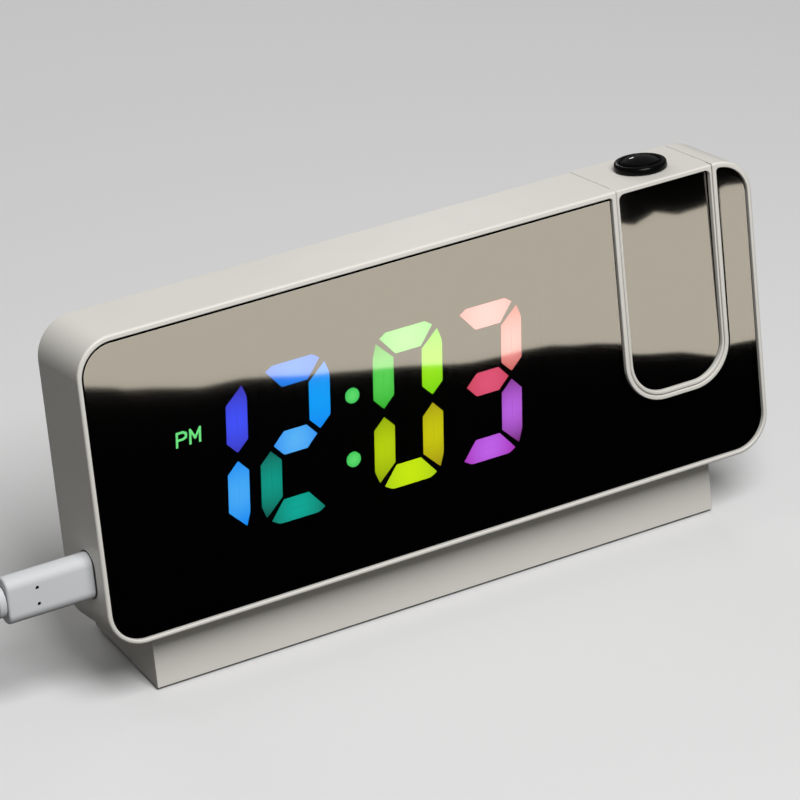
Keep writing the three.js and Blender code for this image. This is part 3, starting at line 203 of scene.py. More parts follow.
# The finish of every node whose name starts so. A later line wins over an earlier one.
NODE_FINISHES = {
    "housing": WHITE, "rear_cover": WHITE, "stand": WHITE, "arm": WHITE, "battery_door": WHITE,
    "button": WHITE, "mirror_panel": MIRROR, "arm_mirror": MIRROR, "display_mask": FILM_AND_SHADE,
    "digit": DIFFUSER, "colon": DIFFUSER, "indicator": DIFFUSER, "light_reflector": REFLECTOR,
    "main_board": BOARD, "battery_holder": BLACK, "coin_cell": STEEL, "speaker": BLACK,
    "cover_screw": STEEL, "usb_socket": STEEL, "usb_board": BOARD, "stand_screw": STEEL,
    "rubber_foot": RUBBER, "arm_screw": STEEL, "hinge_pin": STEEL, "projector_board": BOARD,
    "condenser_lens": GLASS, "projector_lcd": BLACK, "lens": LENS_BLACK, "projector_lens": GLASS,
    "focus_ring": LENS_BLACK, "plug": LEAD_WHITE, "strain_relief": LEAD_WHITE, "cord": JACKET_WHITE,
    "usb_a": LEAD_WHITE, "plug_tongue": STEEL, "usb_a_shell": STEEL,
}
for node, material in NODE_FINISHES.items():
    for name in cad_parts:
        if name.startswith(node):
            cad = bpy.data.objects[name]
            cad.data.materials.clear()
            cad.data.materials.append(material)


# ---- solids ----
SHARPEST = 0.02


def outline(corners, inset=0.0, steps=10):
    """Points round a closed outline of (x, z, radius) corners, anticlockwise, moved inwards by inset."""
    points = []
    for i, (x, z, radius) in enumerate(corners):
        corner = Vector((x, z))
        before = (corner - Vector(corners[i - 1][:2])).normalized()
        after = (Vector(corners[(i + 1) % len(corners)][:2]) - corner).normalized()
        turn = math.atan2(before.cross(after), before.dot(after))
        side = 1 if turn > 0 else -1
        bend = max(radius - side * inset, SHARPEST)
        reach = side * bend + inset
        normals = Vector((-before.y, before.x)), Vector((-after.y, after.x))
        centre = corner + reach * (normals[0] + normals[1]) / (1 + normals[0].dot(normals[1]))
        start = math.atan2(-side * normals[0].y, -side * normals[0].x)
        for k in range(steps + 1):
            angle = start + turn * k / steps
            points.append((centre.x + bend * math.cos(angle), centre.y + bend * math.sin(angle)))
    return points


@contextlib.contextmanager
def editing(mesh):
    work = bmesh.new()
    work.from_mesh(mesh)
    yield work
    work.to_mesh(mesh)
    work.free()


def mesh_object(vertices, faces):
    mesh = bpy.data.meshes.new("piece")
    mesh.from_pydata(vertices, [], faces)
    with editing(mesh) as work:
        bmesh.ops.recalc_face_normals(work, faces=work.faces)
    return placed("piece", mesh)


def loft(rings, closed=False):
    """A solid through rings of equally many points, capped unless the rings close on themselves."""
    count = len(rings[0])
    vertices = [tuple(point) for ring in rings for point in ring]
    faces = []
    for i in range(len(rings) if closed else len(rings) - 1):
        near, far = i * count, (i + 1) % len(rings) * count
        faces += [
            (near + k, near + (k + 1) % count, far + (k + 1) % count, far + k) for k in range(count)
        ]
    if not closed:
        last = (len(rings) - 1) * count
        faces.append(tuple(reversed(range(count))))
        faces.append(tuple(last + k for k in range(count)))
    return mesh_object(vertices, faces)


def sweep(corners, profile, steps=10, x=0.0):
    """A plate whose outline moves inwards by each (inset, y) of the profile, from front to back."""
    return loft([
        [(x + px, y, pz) for px, pz in outline(corners, inset, steps)] for inset, y in profile
    ])


def rounded(radius, y, side=1, steps=5):
    """Profile of an edge rounded by a radius, from the face at y inwards; side -1 for a back edge."""
    arc = [
        (radius * (1 - math.sin(math.pi / 2 * k / steps)),
         y + side * radius * (1 - math.cos(math.pi / 2 * k / steps)))
        for k in range(steps + 1)
    ]
    return arc if side > 0 else arc[::-1]


def flared(radius, y, steps=5):
    """Profile of a cutter that leaves a rounded edge at a face at y."""
    return [(-radius, y - OVER)] + [(-inset, depth) for inset, depth in rounded(radius, y, 1, steps)]


def rectangle(x0, z0, x1, z1, radius=0.5):
    return [(x0, z0, radius), (x1, z0, radius), (x1, z1, radius), (x0, z1, radius)]


def cuboid(low, high):
    (x0, y0, z0), (x1, y1, z1) = low, high
    return loft([
        [(x0, y, z0), (x1, y, z0), (x1, y, z1), (x0, y, z1)] for y in (y0, y1)
    ])


def turned(profile, centre, axis="Z", steps=48):
    """A solid turned around an axis through centre from (radius, along) points."""
    rings = []
    for k in range(steps):
        angle = TURN * k / steps
        ring = []
        for radius, along in profile:
            across, over = radius * math.cos(angle), radius * math.sin(angle)
            point = {
                "X": (along, across, over), "Y": (across, along, over), "Z": (across, over, along),
            }[axis]
            ring.append(tuple(p + c for p, c in zip(point, centre)))
        rings.append(ring)
    made = loft(rings, closed=True)
    with editing(made.data) as work:
        bmesh.ops.remove_doubles(work, verts=work.verts, dist=1e-5)
        bmesh.ops.dissolve_degenerate(work, edges=work.edges, dist=1e-6)
        bmesh.ops.recalc_face_normals(work, faces=work.faces)
    return made


def bar(radius, centre, start, end, axis="Y", steps=32):
    return turned([(0, start), (radius, start), (radius, end), (0, end)], centre, axis, steps)


def combine(base, tools, operation):
    for tool in tools:
        step = base.modifiers.new("step", "BOOLEAN")
        step.operation = operation
        step.solver = "MANIFOLD"
        step.object = tool
    graph = bpy.context.evaluated_depsgraph_get()
    mesh = bpy.data.meshes.new_from_object(base.evaluated_get(graph))
    base.modifiers.clear()
    base.data = mesh
    for tool in tools:
        bpy.data.objects.remove(tool)
    return base


def cut(base, *tools):
    return combine(base, tools, "DIFFERENCE")


def join(base, *tools):
    return combine(base, tools, "UNION")


SHARP_FROM, BEVEL_FROM = math.radians(35), math.radians(40)


def add(piece, name, material, body, nodes=(), bevel=0.0, local=True):
    """Names, places and shades a finished piece, hangs it on its body and hides the frame nodes that it
    replaces.
    """
    piece.name = name
    piece.data.name = name
    if local:
        piece.data.transform(PLACE)
    if material:
        piece.data.materials.clear()
        piece.data.materials.append(material)
    with editing(piece.data) as work:
        for face in work.faces:
            face.smooth = True
        for edge in work.edges:
            edge.smooth = edge.calc_face_angle(0) < SHARP_FROM
    if bevel:
        soften = piece.modifiers.new("edges", "BEVEL")
        soften.width = bevel * MM
        soften.segments = 2
        soften.limit_method = "ANGLE"
        soften.angle_limit = BEVEL_FROM
    weight = piece.modifiers.new("normals", "WEIGHTED_NORMAL")
    weight.keep_sharp = True
    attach(piece, body)
    if nodes:
        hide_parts(*nodes)
    return piece


# ---- the lead ----
CORD = 3.5
# The free stretch's middle line, as in the part's source.
ROUTE = [
    (-138.4, -8.3, 35.73), (-141.83, -8.43, 35.11), (-144.95, -8.79, 33.56), (-147.74, -9.32, 31.51),
    (-150.27, -9.98, 29.18), (-152.62, -10.72, 26.68), (-154.84, -11.52, 24.09), (-156.98, -12.36, 21.44),
    (-159.09, -13.23, 18.77), (-161.19, -14.1, 16.11), (-163.35, -14.95, 13.48), (-165.6, -15.77, 10.91),
    (-167.99, -16.54, 8.47), (-170.59, -17.22, 6.22), (-173.48, -17.79, 4.32), (-176.72, -18.17, 3.06),
]
COIL_X, COIL_Y, COIL_OUTER, COIL_FLOOR = -184, 9.4, 27.7, 2.8
COIL_TURNS, COIL_PITCH, COIL_STEPS = 6.78, 4.05, 40
TAIL_ROUND, TAIL_RADIUS, TAIL_TURN, TAIL_STEPS = 10, 10, 0.2917 * TURN, 16
FAR_WIDTH, FAR_THICK, FAR_CORNER, FAR_LENGTH = 15.4, 7.8, 2.2, 22
FAR_RELIEF, FAR_RELIEF_RADIUS = 9, 2.7
FAR_GROOVES, FAR_GROOVE_STEP, FAR_RIBS, FAR_RIB_STEP, FAR_RIB_DEEP = 4, 2.2, 5, 1.9, 0.55
SHELL_WIDTH, SHELL_LENGTH, SHELL_THICK, SHELL_WALL = 12, 18.5, 4.5, 0.4
COIL_END = COIL_TURNS * TURN
TAIL_END = COIL_END + TAIL_ROUND / COIL_OUTER + TAIL_TURN


def coil_points():
    """The coil's middle line and its tail, which turns inwards and climbs on to the turns."""
    half = COIL_END / 2
    points = [(COIL_X + CORD, COIL_Y - COIL_OUTER, COIL_FLOOR)]
    steps = round(COIL_TURNS * COIL_STEPS)
    for i in range(steps + 1):
        angle = COIL_END * i / steps
        radius = COIL_OUTER - COIL_PITCH * (half - abs(angle - half)) / TURN
        climb = min(max((angle - half) / math.pi + 0.5, 0), 1)
        points.append((
            COIL_X - radius * math.sin(angle),
            COIL_Y - radius * math.cos(angle),
            COIL_FLOOR + COIL_PITCH * climb,
        ))
    top = COIL_FLOOR + COIL_PITCH
    rise = CORD / 2 + GAP + FAR_THICK / 2
    length = TAIL_ROUND + TAIL_RADIUS * TAIL_TURN
    reach = COIL_OUTER - TAIL_RADIUS
    for i in range(1, TAIL_STEPS + 1):
        share = i / TAIL_STEPS
        gone = share * length
        leave = COIL_END + min(gone, TAIL_ROUND) / COIL_OUTER
        angle = leave + max(gone - TAIL_ROUND, 0) / TAIL_RADIUS
        points.append((
            COIL_X - reach * math.sin(leave) - TAIL_RADIUS * math.sin(angle),
            COIL_Y - reach * math.cos(leave) - TAIL_RADIUS * math.cos(angle),
            top + share * share * (3 - 2 * share) * rise,
        ))
    x, y, z = points[-1]
    points.append((x - CORD * math.cos(TAIL_END), y + CORD * math.sin(TAIL_END), z))
    return points


def tube(points, diameter):
    curve = bpy.data.curves.new("lead", "CURVE")
    curve.dimensions = "3D"
    curve.bevel_depth = diameter / 2 * MM
    curve.bevel_resolution = 5
    curve.resolution_u = 3
    curve.use_fill_caps = True
    spline = curve.splines.new("NURBS")
    spline.points.add(len(points) - 1)
    for target, point in zip(spline.points, points):
        target.co = (*(value * MM for value in point), 1)
    spline.order_u = 4
    spline.use_endpoint_u = True
    return placed("lead_cord", curve)


wound = coil_points()
lead = tube(ROUTE + wound, CORD)
lead.data.materials.append(JACKET_WHITE)
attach(lead, "body")
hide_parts("cord_tube", "cord_coil")

# The far plug is drawn back from the origin along y, and then laid on from the end of the tail.
AT_TAIL = (
    Matrix.Scale(MM, 4)
    @ Matrix.Translation(wound[-1])
    @ Matrix.Rotation(math.pi / 2 - TAIL_END, 4, "Z")
)


def at_tail(piece, name, material, nodes=(), bevel=0.0):
    piece.data.transform(AT_TAIL)
    return add(piece, name, material, "body", nodes, bevel, local=False)


def make_far_body():
    start = GAP + FAR_RELIEF
    end = start + FAR_LENGTH
    half, tall = FAR_WIDTH / 2, FAR_THICK / 2
    profile = [(1.3, start), (0.6, start + 0.5), (0.15, start + 1.4), (0, start + 2.6)]
    for groove in range(FAR_GROOVES):
        place = start + 5.5 + FAR_GROOVE_STEP * groove
        profile += [(0, place), (0.4, place + 0.15), (0.4, place + 0.75), (0, place + 0.9)]
    profile += [(0, end - 0.7), (0.2, end - 0.2), (0.6, end)]
    body = sweep(rectangle(-half, -tall, half, tall, FAR_CORNER), profile, 8)
    ribs = [(0, GAP)]
    for rib in range(FAR_RIBS):
        outer = FAR_RELIEF_RADIUS - 0.55 * (1 - rib / FAR_RIBS)
        inner = outer - FAR_RIB_DEEP
        low = GAP + FAR_RIB_STEP * rib
        ribs += [(outer, low), (outer + 0.05, low + 1.2), (inner, low + 1.3), (inner, low + FAR_RIB_STEP)]
    ribs += [(FAR_RELIEF_RADIUS, start + 0.6), (FAR_RELIEF_RADIUS, start + 3), (0, start + 3)]
    return join(body, turned(ribs, (0, 0, 0), "Y", 40))


def make_far_shell():
    start = FAR_RELIEF + FAR_LENGTH + 2 * GAP
    end = start + SHELL_LENGTH
    half, tall = SHELL_WIDTH / 2, SHELL_THICK / 2
    corners = rectangle(-half, -tall, half, tall, 0.7)
    shell = sweep(corners, [(0, start), (0, end - 0.3), (0.15, end)], 5)
    inner = sweep(corners, [(SHELL_WALL, start + SHELL_WALL), (SHELL_WALL, end + OVER)], 5)
    holes = [
        cuboid((side * 2.9 - 1.1, start + 6, -tall - OVER), (side * 2.9 + 1.1, start + 8.4, tall + OVER))
        for side in (-1, 1)
    ]
    return cut(shell, inner, *holes)


def make_far_tongue():
    start = FAR_RELIEF + FAR_LENGTH + 2 * GAP + SHELL_WALL
    half = SHELL_WIDTH / 2 - SHELL_WALL - 0.05
    low = SHELL_WALL - SHELL_THICK / 2 + 0.05
    return cuboid((-half, start, low), (half, start + SHELL_LENGTH - 1.6, low + 1.5))


TIE_THICK, TIE_WIDTH, TIE_SPARE, TIE_TURN = 0.7, 5, 0.35, 0.15 * TURN


def make_tie():
    """A flat band round all the turns, with rounded edges."""
    spare = CORD / 2 + TIE_SPARE
    inner = COIL_OUTER - COIL_PITCH * COIL_TURNS / 2 - spare - TIE_THICK
    outer = COIL_OUTER + spare + TIE_THICK
    low = COIL_FLOOR - spare - TIE_THICK
    high = COIL_FLOOR + COIL_PITCH + spare + TIE_THICK
    corners = rectangle(inner, low, outer, high, TIE_THICK + TIE_SPARE)
    half = TIE_WIDTH / 2
    flat = half - 0.25
    section = [
        (0.15, -half), (0, -flat), (0, flat), (0.15, half),
        (TIE_THICK - 0.15, half), (TIE_THICK, flat), (TIE_THICK, -flat), (TIE_THICK - 0.15, -half),
    ]
    loops = [(outline(corners, inset, 5), across) for inset, across in section]
    band = loft([
        [(loop[k][0], across, loop[k][1]) for loop, across in loops] for k in range(len(loops[0][0]))
    ], closed=True)
    band.data.transform(
        Matrix.Scale(MM, 4) @ Matrix.Translation((COIL_X, COIL_Y, 0)) @ Matrix.Rotation(TIE_TURN, 4, "Z")
    )
    return band


far_pieces = [
    at_tail(make_far_body(), "far_plug_body", LEAD_WHITE, ["usb_a_body"]),
    at_tail(make_far_shell(), "far_plug_shell", STEEL, ["usb_a_shell"], 0.1),
    at_tail(make_far_tongue(), "far_plug_tongue", BLACK, (), 0.1),
    add(make_tie(), "tie_band", BLACK, "body", ["cord_tie"], local=False),
]

# ---- the housing ----
FACE = rectangle(-HALF, 0, HALF, TALL, CORNER)


def arm_outline(spread, top, drop=0.0, head=SHARPEST):
    half = ARM_HALF + spread
    foot = ARM_FOOT - spread - drop
    bend = ARM_ROUND + spread
    return [(-half, foot, bend), (half, foot, bend), (half, top, head), (-half, top, head)]


def window():
    """The mirror panel's opening, around the arm's bay."""
    side, top = HALF - LIP, TALL - LIP - 0.35
    bay = ARM_HALF + BAY_RIM
    return [
        (-side, LIP, CORNER - LIP), (side, LIP, CORNER - LIP), (side, top, CORNER - LIP),
        (ARM_X + bay, top, BAY_ROUND), (ARM_X + bay, ARM_FOOT - BAY_RIM, ARM_ROUND + BAY_RIM),
        (ARM_X - bay, ARM_FOOT - BAY_RIM, ARM_ROUND + BAY_RIM), (ARM_X - bay, top, BAY_ROUND),
        (-side, top, CORNER - LIP),
    ]


LEDGE_FRONT, LEDGE_BACK, BAY_BACK = 3.2, 4.7, COVER_FRONT - GAP
BAY_SPREAD, BAY_ROUND = BAY_RIM + 0.9, 0.9
FRONT_EDGE, BACK_EDGE, LIP_EDGE, SLIT_EDGE = 0.65, 0.4, 0.3, 0.25
COVER_BOSS, STAND_BOSS, STAND_BOSS_TOP = 3.5, 3.2, 3.6 + WALL
NEAR_BAY = ARM_X - ARM_HALF - GAP - BAY_RIM - 8
COVER_SCREWS = [(sx * (HALF - 6), z) for sx in (-1, 1) for z in (6, TALL - 6)]
COVER_SCREWS += [(NEAR_BAY, 5.2), (NEAR_BAY, TALL - 5.2)]
STAND_SCREWS = [(x, (8.2 + DEEP) / 2) for x in (-60, 60)]
SOCKET_Y, SOCKET_Z = 8.6, 18.8
SLOT_THICK, SLOT_WIDE, SLOT_ROUND = 8.4, 13.1, 4.1


def bay_block(front, spread, back):
    return sweep(arm_outline(spread, TALL - 1), [(0, front), (0, back)], x=ARM_X)


def side_bar(thickness, width, radius, profile):
    """A rounded bar along x at the socket, from (inset, x) points."""
    corners = rectangle(-thickness / 2, -width / 2, thickness / 2, width / 2, radius)
    return loft([
        [(x, SOCKET_Y + py, SOCKET_Z + pz) for py, pz in outline(corners, inset, 8)]
        for inset, x in profile
    ])


def arm_block(half, front, low, back, high):
    return cuboid((ARM_X - half, front, low), (ARM_X + half, back, high))


def hinge_bore():
    return bar(PIN_BORE, (ARM_X, *HINGE), -PIN_REACH, PIN_REACH, "X", 16)


def make_housing():
    shell = sweep(FACE, rounded(FRONT_EDGE, 0) + rounded(BACK_EDGE, DEEP, -1), 14)
    cavity = sweep(FACE, [(WALL, LEDGE_BACK), (WALL, DEEP + OVER)], 14)
    keep = [bay_block(LEDGE_BACK - 1, BAY_SPREAD, BAY_BACK)]
    keep += [bar(COVER_BOSS, (x, 0, z), LEDGE_BACK - 1, BAY_BACK) for x, z in COVER_SCREWS]
    keep += [bar(STAND_BOSS, (x, y, 0), -1, STAND_BOSS_TOP, "Z") for x, y in STAND_SCREWS]
    cavity = cut(cavity, *keep)
    through = cut(
        sweep(FACE, [(WALL + 2.5, -OVER), (WALL + 2.5, LEDGE_BACK + 0.5)], 14),
        bay_block(-2 * OVER, BAY_RIM, LEDGE_BACK + 1),
        bay_block(LEDGE_FRONT, BAY_SPREAD, LEDGE_BACK + 1),
    )
    cutters = [
        sweep(window(), flared(LIP_EDGE, 0) + [(0, LEDGE_FRONT)], 12),
        cavity,
        through,
        sweep(arm_outline(GAP - 0.12, TALL + OVER), flared(SLIT_EDGE, 0) + [(0, DEEP + OVER)], x=ARM_X),
        sweep(arm_outline(GAP, HINGE[1], 0.65), [(0, 0.5), (0, DEEP + OVER)], x=ARM_X),
        side_bar(SLOT_THICK, SLOT_WIDE, SLOT_ROUND, [(0, -HALF - OVER), (0, -HALF + WALL + OVER)]),
        hinge_bore(),
    ]
    cutters += [bar(SCREW_BORE, (x, 0, z), BAY_BACK - 8, DEEP, "Y", 16) for x, z in COVER_SCREWS]
    cutters += [bar(SCREW_BORE, (x, y, 0), -OVER, STAND_BOSS_TOP, "Z", 16) for x, y in STAND_SCREWS]
    return cut(shell, *cutters)


add(make_housing(), "housing_shell", WHITE, "body", ["housing"])

# ---- mirror panel ----
def band(section, corners_at):
    """A closed band along an outline, from (inset, y) points of its section."""
    loops = [(corners_at(inset), y) for inset, y in section]
    return loft([
        [(loop[k][0], y, loop[k][1]) for loop, y in loops] for k in range(len(loops[0][0]))
    ], closed=True)


def chamfered(spread, front, back, size=0.08):
    """Profile of a plate with chamfered edges."""
    return [(spread + inset, y) for inset, y in rounded(size, front, 1, 1) + rounded(size, back, -1, 1)]


FRONTWARD = -0.9


def silvered(piece):
    """Keeps the reflecting film to the front of a panel."""
    for material in (MIRROR, CLEAR):
        piece.data.materials.append(material)
    for face in piece.data.polygons:
        face.material_index = 0 if face.normal.y < FRONTWARD else 1
    return piece


PANEL_INSET, PANEL_FRONT, PANEL_BACK = 0.55, 0.5, 2.9
FILM_INSET, FILM_FRONT, FILM_BACK = 0.12, 2.93, 3.08
panel = sweep(window(), chamfered(PANEL_INSET, PANEL_FRONT, PANEL_BACK), 12)
add(silvered(panel), "mirror_front", None, "body", ["mirror_panel"])
# The black gasket lines the window's walls from 1.2 mm deep and paints the shade in the gap between the
# mirror and those walls. With the film it also keeps the white walls from showing through the half mirror.
shade_gasket = band([
    (0.03, 1.2), (0.1, 1.2), (0.1, 1.4), (0.52, 1.4), (0.52, 1.7), (0.1, 1.7), (0.1, 3.05), (0.03, 3.05),
], lambda inset: outline(window(), inset, 12))
add(shade_gasket, "mirror_shade_gasket", FILM_AND_SHADE, "body")
SIGHT = rectangle(-77, 15, 33, 66, 3)
film = cut(
    sweep(window(), [(FILM_INSET, FILM_FRONT), (FILM_INSET, FILM_BACK)], 12),
    sweep(SIGHT, [(0, 1), (0, 4)]),
)
add(film, "mirror_film", FILM_AND_SHADE, "body")

# ---- the arm ----
ARM_WALL = 1.5
SHELF = 60  # where the thin leg ends and the projector's head begins
HEAD_FLOOR = SHELF + ARM_WALL + GAP
SPLIT = DEEP / 2
LEG = 9.0
LEG_FRONT = LEG - ARM_WALL - GAP
OPTICS = (ARM_X, SPLIT, 0)
LENS_BORE = 5.5
FRAME_FRONT = 3.9
ARM_SCREWS = [(ARM_X - 8, 52), (ARM_X + 8, 52)]
TILT = math.radians(0.8)


def mirror_opening(inset):
    """The arm mirror's outline in its rim, moved inwards."""
    half = ARM_HALF - 0.7
    foot, top = ARM_FOOT + 1.1, TALL - 1.3
    bend = ARM_ROUND - 0.7
    corners = [(-half, foot, bend), (half, foot, bend), (half, top, 1.6), (-half, top, 1.6)]
    return outline(corners, inset, 12)


def mirror_plate(profile):
    """A plate of the arm mirror's outline, from (inset, y) points."""
    return loft([
        [(ARM_X + px, y, pz) for px, pz in mirror_opening(inset)] for inset, y in profile
    ])


def tilted(piece):
    """Leans a plate back in the arm's rim."""
    middle = Vector((ARM_X, 1.7, (ARM_FOOT + TALL) / 2))
    piece.data.transform(
        Matrix.Translation(middle) @ Matrix.Rotation(-TILT, 4, "X") @ Matrix.Translation(-middle)
    )
    return piece


def lens_hole():
    return bar(LENS_BORE, OPTICS, TALL - 10, TALL + OVER, "Z", 48)


def make_arm_front():
    back = SPLIT - GAP / 2
    leg = sweep(arm_outline(0, TALL, 0, 0.5), rounded(0.45, 0) + [(0, LEG_FRONT)], 12, ARM_X)
    solid = join(leg, arm_block(ARM_HALF, 3, HEAD_FLOOR, back, TALL))
    inner = ARM_HALF - ARM_WALL
    hollow = sweep(
        arm_outline(-ARM_WALL, TALL - ARM_WALL), [(0, FRAME_FRONT), (0, LEG_FRONT + OVER)], 12, ARM_X
    )
    floor_top = HEAD_FLOOR + ARM_WALL
    room = arm_block(inner, FRAME_FRONT, floor_top, back + OVER, TALL - ARM_WALL)
    solid = join(
        cut(solid, hollow, room), arm_block(inner + 0.2, LEG_FRONT - ARM_WALL, HEAD_FLOOR, back, floor_top)
    )
    opening = mirror_plate(flared(0.2, 0, 3) + [(0, 2.7)])
    return cut(solid, opening, lens_hole(), hinge_bore())


def make_arm_rear():
    front = SPLIT + GAP / 2
    leg_front = LEG - ARM_WALL
    shelf_top = SHELF + ARM_WALL
    solid = join(
        arm_block(ARM_HALF, front, SHELF, DEEP, TALL),
        arm_block(ARM_HALF, leg_front, SHELF, front + ARM_WALL, shelf_top),
        sweep(arm_outline(0, shelf_top), [(0, leg_front)] + rounded(0.3, LEG, -1, 3), 12, ARM_X),
    )
    room = arm_block(ARM_HALF - ARM_WALL, front - OVER, shelf_top, DEEP - ARM_WALL, TALL - ARM_WALL)
    holes = []
    for x, z in ARM_SCREWS:
        holes.append(bar(SCREW_BORE, (x, 0, z), leg_front - OVER, LEG + OVER, "Y", 16))
        holes.append(bar(2.3, (x, 0, z), LEG - 0.8, LEG + OVER, "Y", 24))
    return cut(solid, room, lens_hole(), *holes)


add(make_arm_front(), "arm_front_shell", WHITE, "arm", ["arm_front"])
add(make_arm_rear(), "arm_rear_shell", WHITE, "arm", ["arm_rear"])
arm_glass = tilted(mirror_plate(chamfered(GAP, 1.2, 2.2)))
add(silvered(arm_glass), "arm_mirror_front", None, "arm", ["arm_mirror"])
arm_film = tilted(mirror_plate([(0.28, 2.3), (0.28, 2.42)]))
add(arm_film, "arm_mirror_film", FILM_AND_SHADE, "arm")
# The arm's black gasket lines its rim's walls from 1.3 mm deep and paints the shade in the gap between the
# rim and the arm's mirror. It also keeps the white walls from showing through that mirror.
arm_shade_gasket = band(
    [(0.02, 1.3), (0.26, 1.3), (0.26, 2.65), (0.02, 2.65)],
    lambda inset: [(ARM_X + px, pz) for px, pz in mirror_opening(inset)],
)
add(arm_shade_gasket, "arm_mirror_shade_gasket", FILM_AND_SHADE, "arm")

# ---- lit display ----
# Segments are drawn upright around a digit's middle, in shares of its half width and height, with the
# radius of each corner. They lean to the right as they are placed.
DIGIT_X = (-63.95, -40.25, -7.3, 16.4)
SEGMENT_HALF, SEGMENT_TALL, SLANT, MIDDLE = 10.25, 21.05, 0.09, 39.95
LIT_FRONT, BACKING_FRONT, BACKING_BACK, BACKING_RIM = 3.15, 4.5, 5.3, 0.9
TIP = 0.15
# Each form is its corners, the ends of its spine and how far its glow reaches.
TOP = [
    (-0.80, 0.943, 0.25), (-0.62, 1, 3), (0.51, 1, 3),
    (0.73, 0.936, 0.25), (0.38, 0.70, TIP), (-0.34, 0.70, TIP),
], [(-0.42, 0.85), (0.4, 0.85)], 8.2
RIGHT_SIDE = [
    (0.86, 0.876, TIP), (1, 0.713, 5), (1, 0.192, TIP),
    (0.70, 0.047, TIP), (0.40, 0.192, TIP), (0.40, 0.663, TIP),
], [(0.7, 0.22), (0.7, 0.66)], 9.4
LEFT_SIDE = [
    (-0.90, 0.898, TIP), (-0.40, 0.672, TIP), (-0.40, 0.195, TIP),
    (-0.70, 0.047, TIP), (-1, 0.195, TIP), (-1, 0.72, 5),
], [(-0.7, 0.22), (-0.7, 0.66)], 9.4
CENTRE = [
    (-0.62, 0, TIP), (-0.325, 0.15, TIP), (0.325, 0.15, TIP),
    (0.62, 0, TIP), (0.325, -0.15, TIP), (-0.325, -0.15, TIP),
], [(-0.3, 0), (0.3, 0)], 6.6
# The lower segments are the upper ones turned by half a turn.
SEGMENTS = {
    "a": (TOP, 1), "b": (RIGHT_SIDE, 1), "f": (LEFT_SIDE, 1), "g": (CENTRE, 1),
    "d": (TOP, -1), "e": (RIGHT_SIDE, -1), "c": (LEFT_SIDE, -1),
}
SEGMENT_INSET = 0.12
GLOW_FALL = 1.6
GLOW_STRENGTH = 1.95


def glow(name, core, edge):
    """A lit diffuser, paler and brighter in its middle."""
    finish = Finish(name, (0.02, 0.02, 0.02, 1), 0.5, Emission_Strength=GLOW_STRENGTH)
    share = finish.node("Attribute", attribute_name="glow").outputs["Fac"]
    finish.links.new(finish.ramp(share, 0.05, edge, 1.0, core), finish.shader.inputs["Emission Color"])
    return finish.material


def dense(points, step=1.2):
    """The same closed outline, with long edges split."""
    made = []
    for i, point in enumerate(points):
        after = points[(i + 1) % len(points)]
        pieces = max(1, round(math.dist(point, after) / step))
        made += [
            tuple(p + (q - p) * k / pieces for p, q in zip(point, after)) for k in range(pieces)
        ]
    return made


def leaning(x, y, z):
    return x + SLANT * z, y, MIDDLE + z


def lit_plate(points, ends, reach):
    """A raised plate whose front carries a glow value that falls away from the middle of its spine."""
    first, last = Vector(ends[0]), Vector(ends[1])
    centre = (first + last) / 2
    along = last - first
    rings = [(points, BACKING_FRONT + 0.1), (points, LIT_FRONT)]
    for share in (0.2, 0.4, 0.6, 0.8, 0.95):
        ring = []
        for point in points:
            place = Vector(point)
            part = (place - first).dot(along) / along.length_squared
            target = first + along * min(max(part, 0), 1)
            ring.append(tuple(place.lerp(target, share)))
        rings.append((ring, LIT_FRONT))
    made = loft([[leaning(px, y, pz) for px, pz in ring] for ring, y in rings])
    values = made.data.attributes.new("glow", "FLOAT", "POINT").data
    flat = [Vector(point) for ring, _ in rings for point in ring]
    for i in range(len(points), len(flat)):
        values[i].value = max(0, 1 - ((flat[i] - centre).length / reach) ** GLOW_FALL)
    return made


def lit_segment(letter, x):
    (shares, spine, reach), turn = SEGMENTS[letter]

    def place(px, pz):
        return x + turn * px * SEGMENT_HALF, turn * pz * SEGMENT_TALL

    corners = [(*place(px, pz), radius) for px, pz, radius in shares]
    area = sum(
        corners[i - 1][0] * corners[i][1] - corners[i][0] * corners[i - 1][1] for i in range(len(corners))
    )
    points = dense(outline(corners if area > 0 else corners[::-1], SEGMENT_INSET, 4))
    return lit_plate(points, [place(*end) for end in spine], reach)


def backing(x, half):
    """The leaning plate behind a group of lit faces."""
    tall = SEGMENT_TALL + BACKING_RIM
    made = loft([
        [leaning(x + a * (half - inset), y, b * (tall - inset)) for a, b in SQUARE]
        for inset, y in ((0.1, BACKING_FRONT), (0, BACKING_FRONT + 0.1), (0, BACKING_BACK))
    ])
    made.data.materials.append(DIFFUSER)
    return made


def joined(parts):
    """One object from several, each keeping its own material."""
    first = parts[0]
    with bpy.context.temp_override(
        active_object=first, selected_objects=parts, selected_editable_objects=parts
    ):
        bpy.ops.object.join()
    return first


# Middle and edge colours of every lit segment.
COLORS = {
    1: {"b": ((64, 82, 255), (60, 50, 176)), "c": ((72, 176, 255), (0, 138, 250))},
    2: {
        "a": ((20, 134, 250), (0, 110, 228)), "b": ((0, 164, 255), (10, 132, 250)),
        "g": ((92, 186, 255), (52, 150, 252)), "e": ((0, 156, 136), (8, 84, 74)),
        "d": ((0, 172, 154), (10, 122, 104)),
    },
    3: {
        "a": ((150, 240, 130), (110, 220, 100)), "f": ((88, 214, 84), (28, 168, 20)),
        "b": ((160, 238, 20), (110, 214, 0)), "e": ((188, 214, 0), (140, 166, 0)),
        "d": ((206, 240, 0), (176, 214, 20)), "c": ((206, 204, 0), (164, 150, 10)),
    },
    4: {
        "a": ((250, 170, 166), (238, 140, 140)), "b": ((250, 160, 156), (200, 84, 76)),
        "g": ((232, 88, 124), (206, 70, 92)), "c": ((190, 100, 230), (116, 40, 118)),
        "d": ((196, 100, 240), (170, 48, 186)),
    },
}
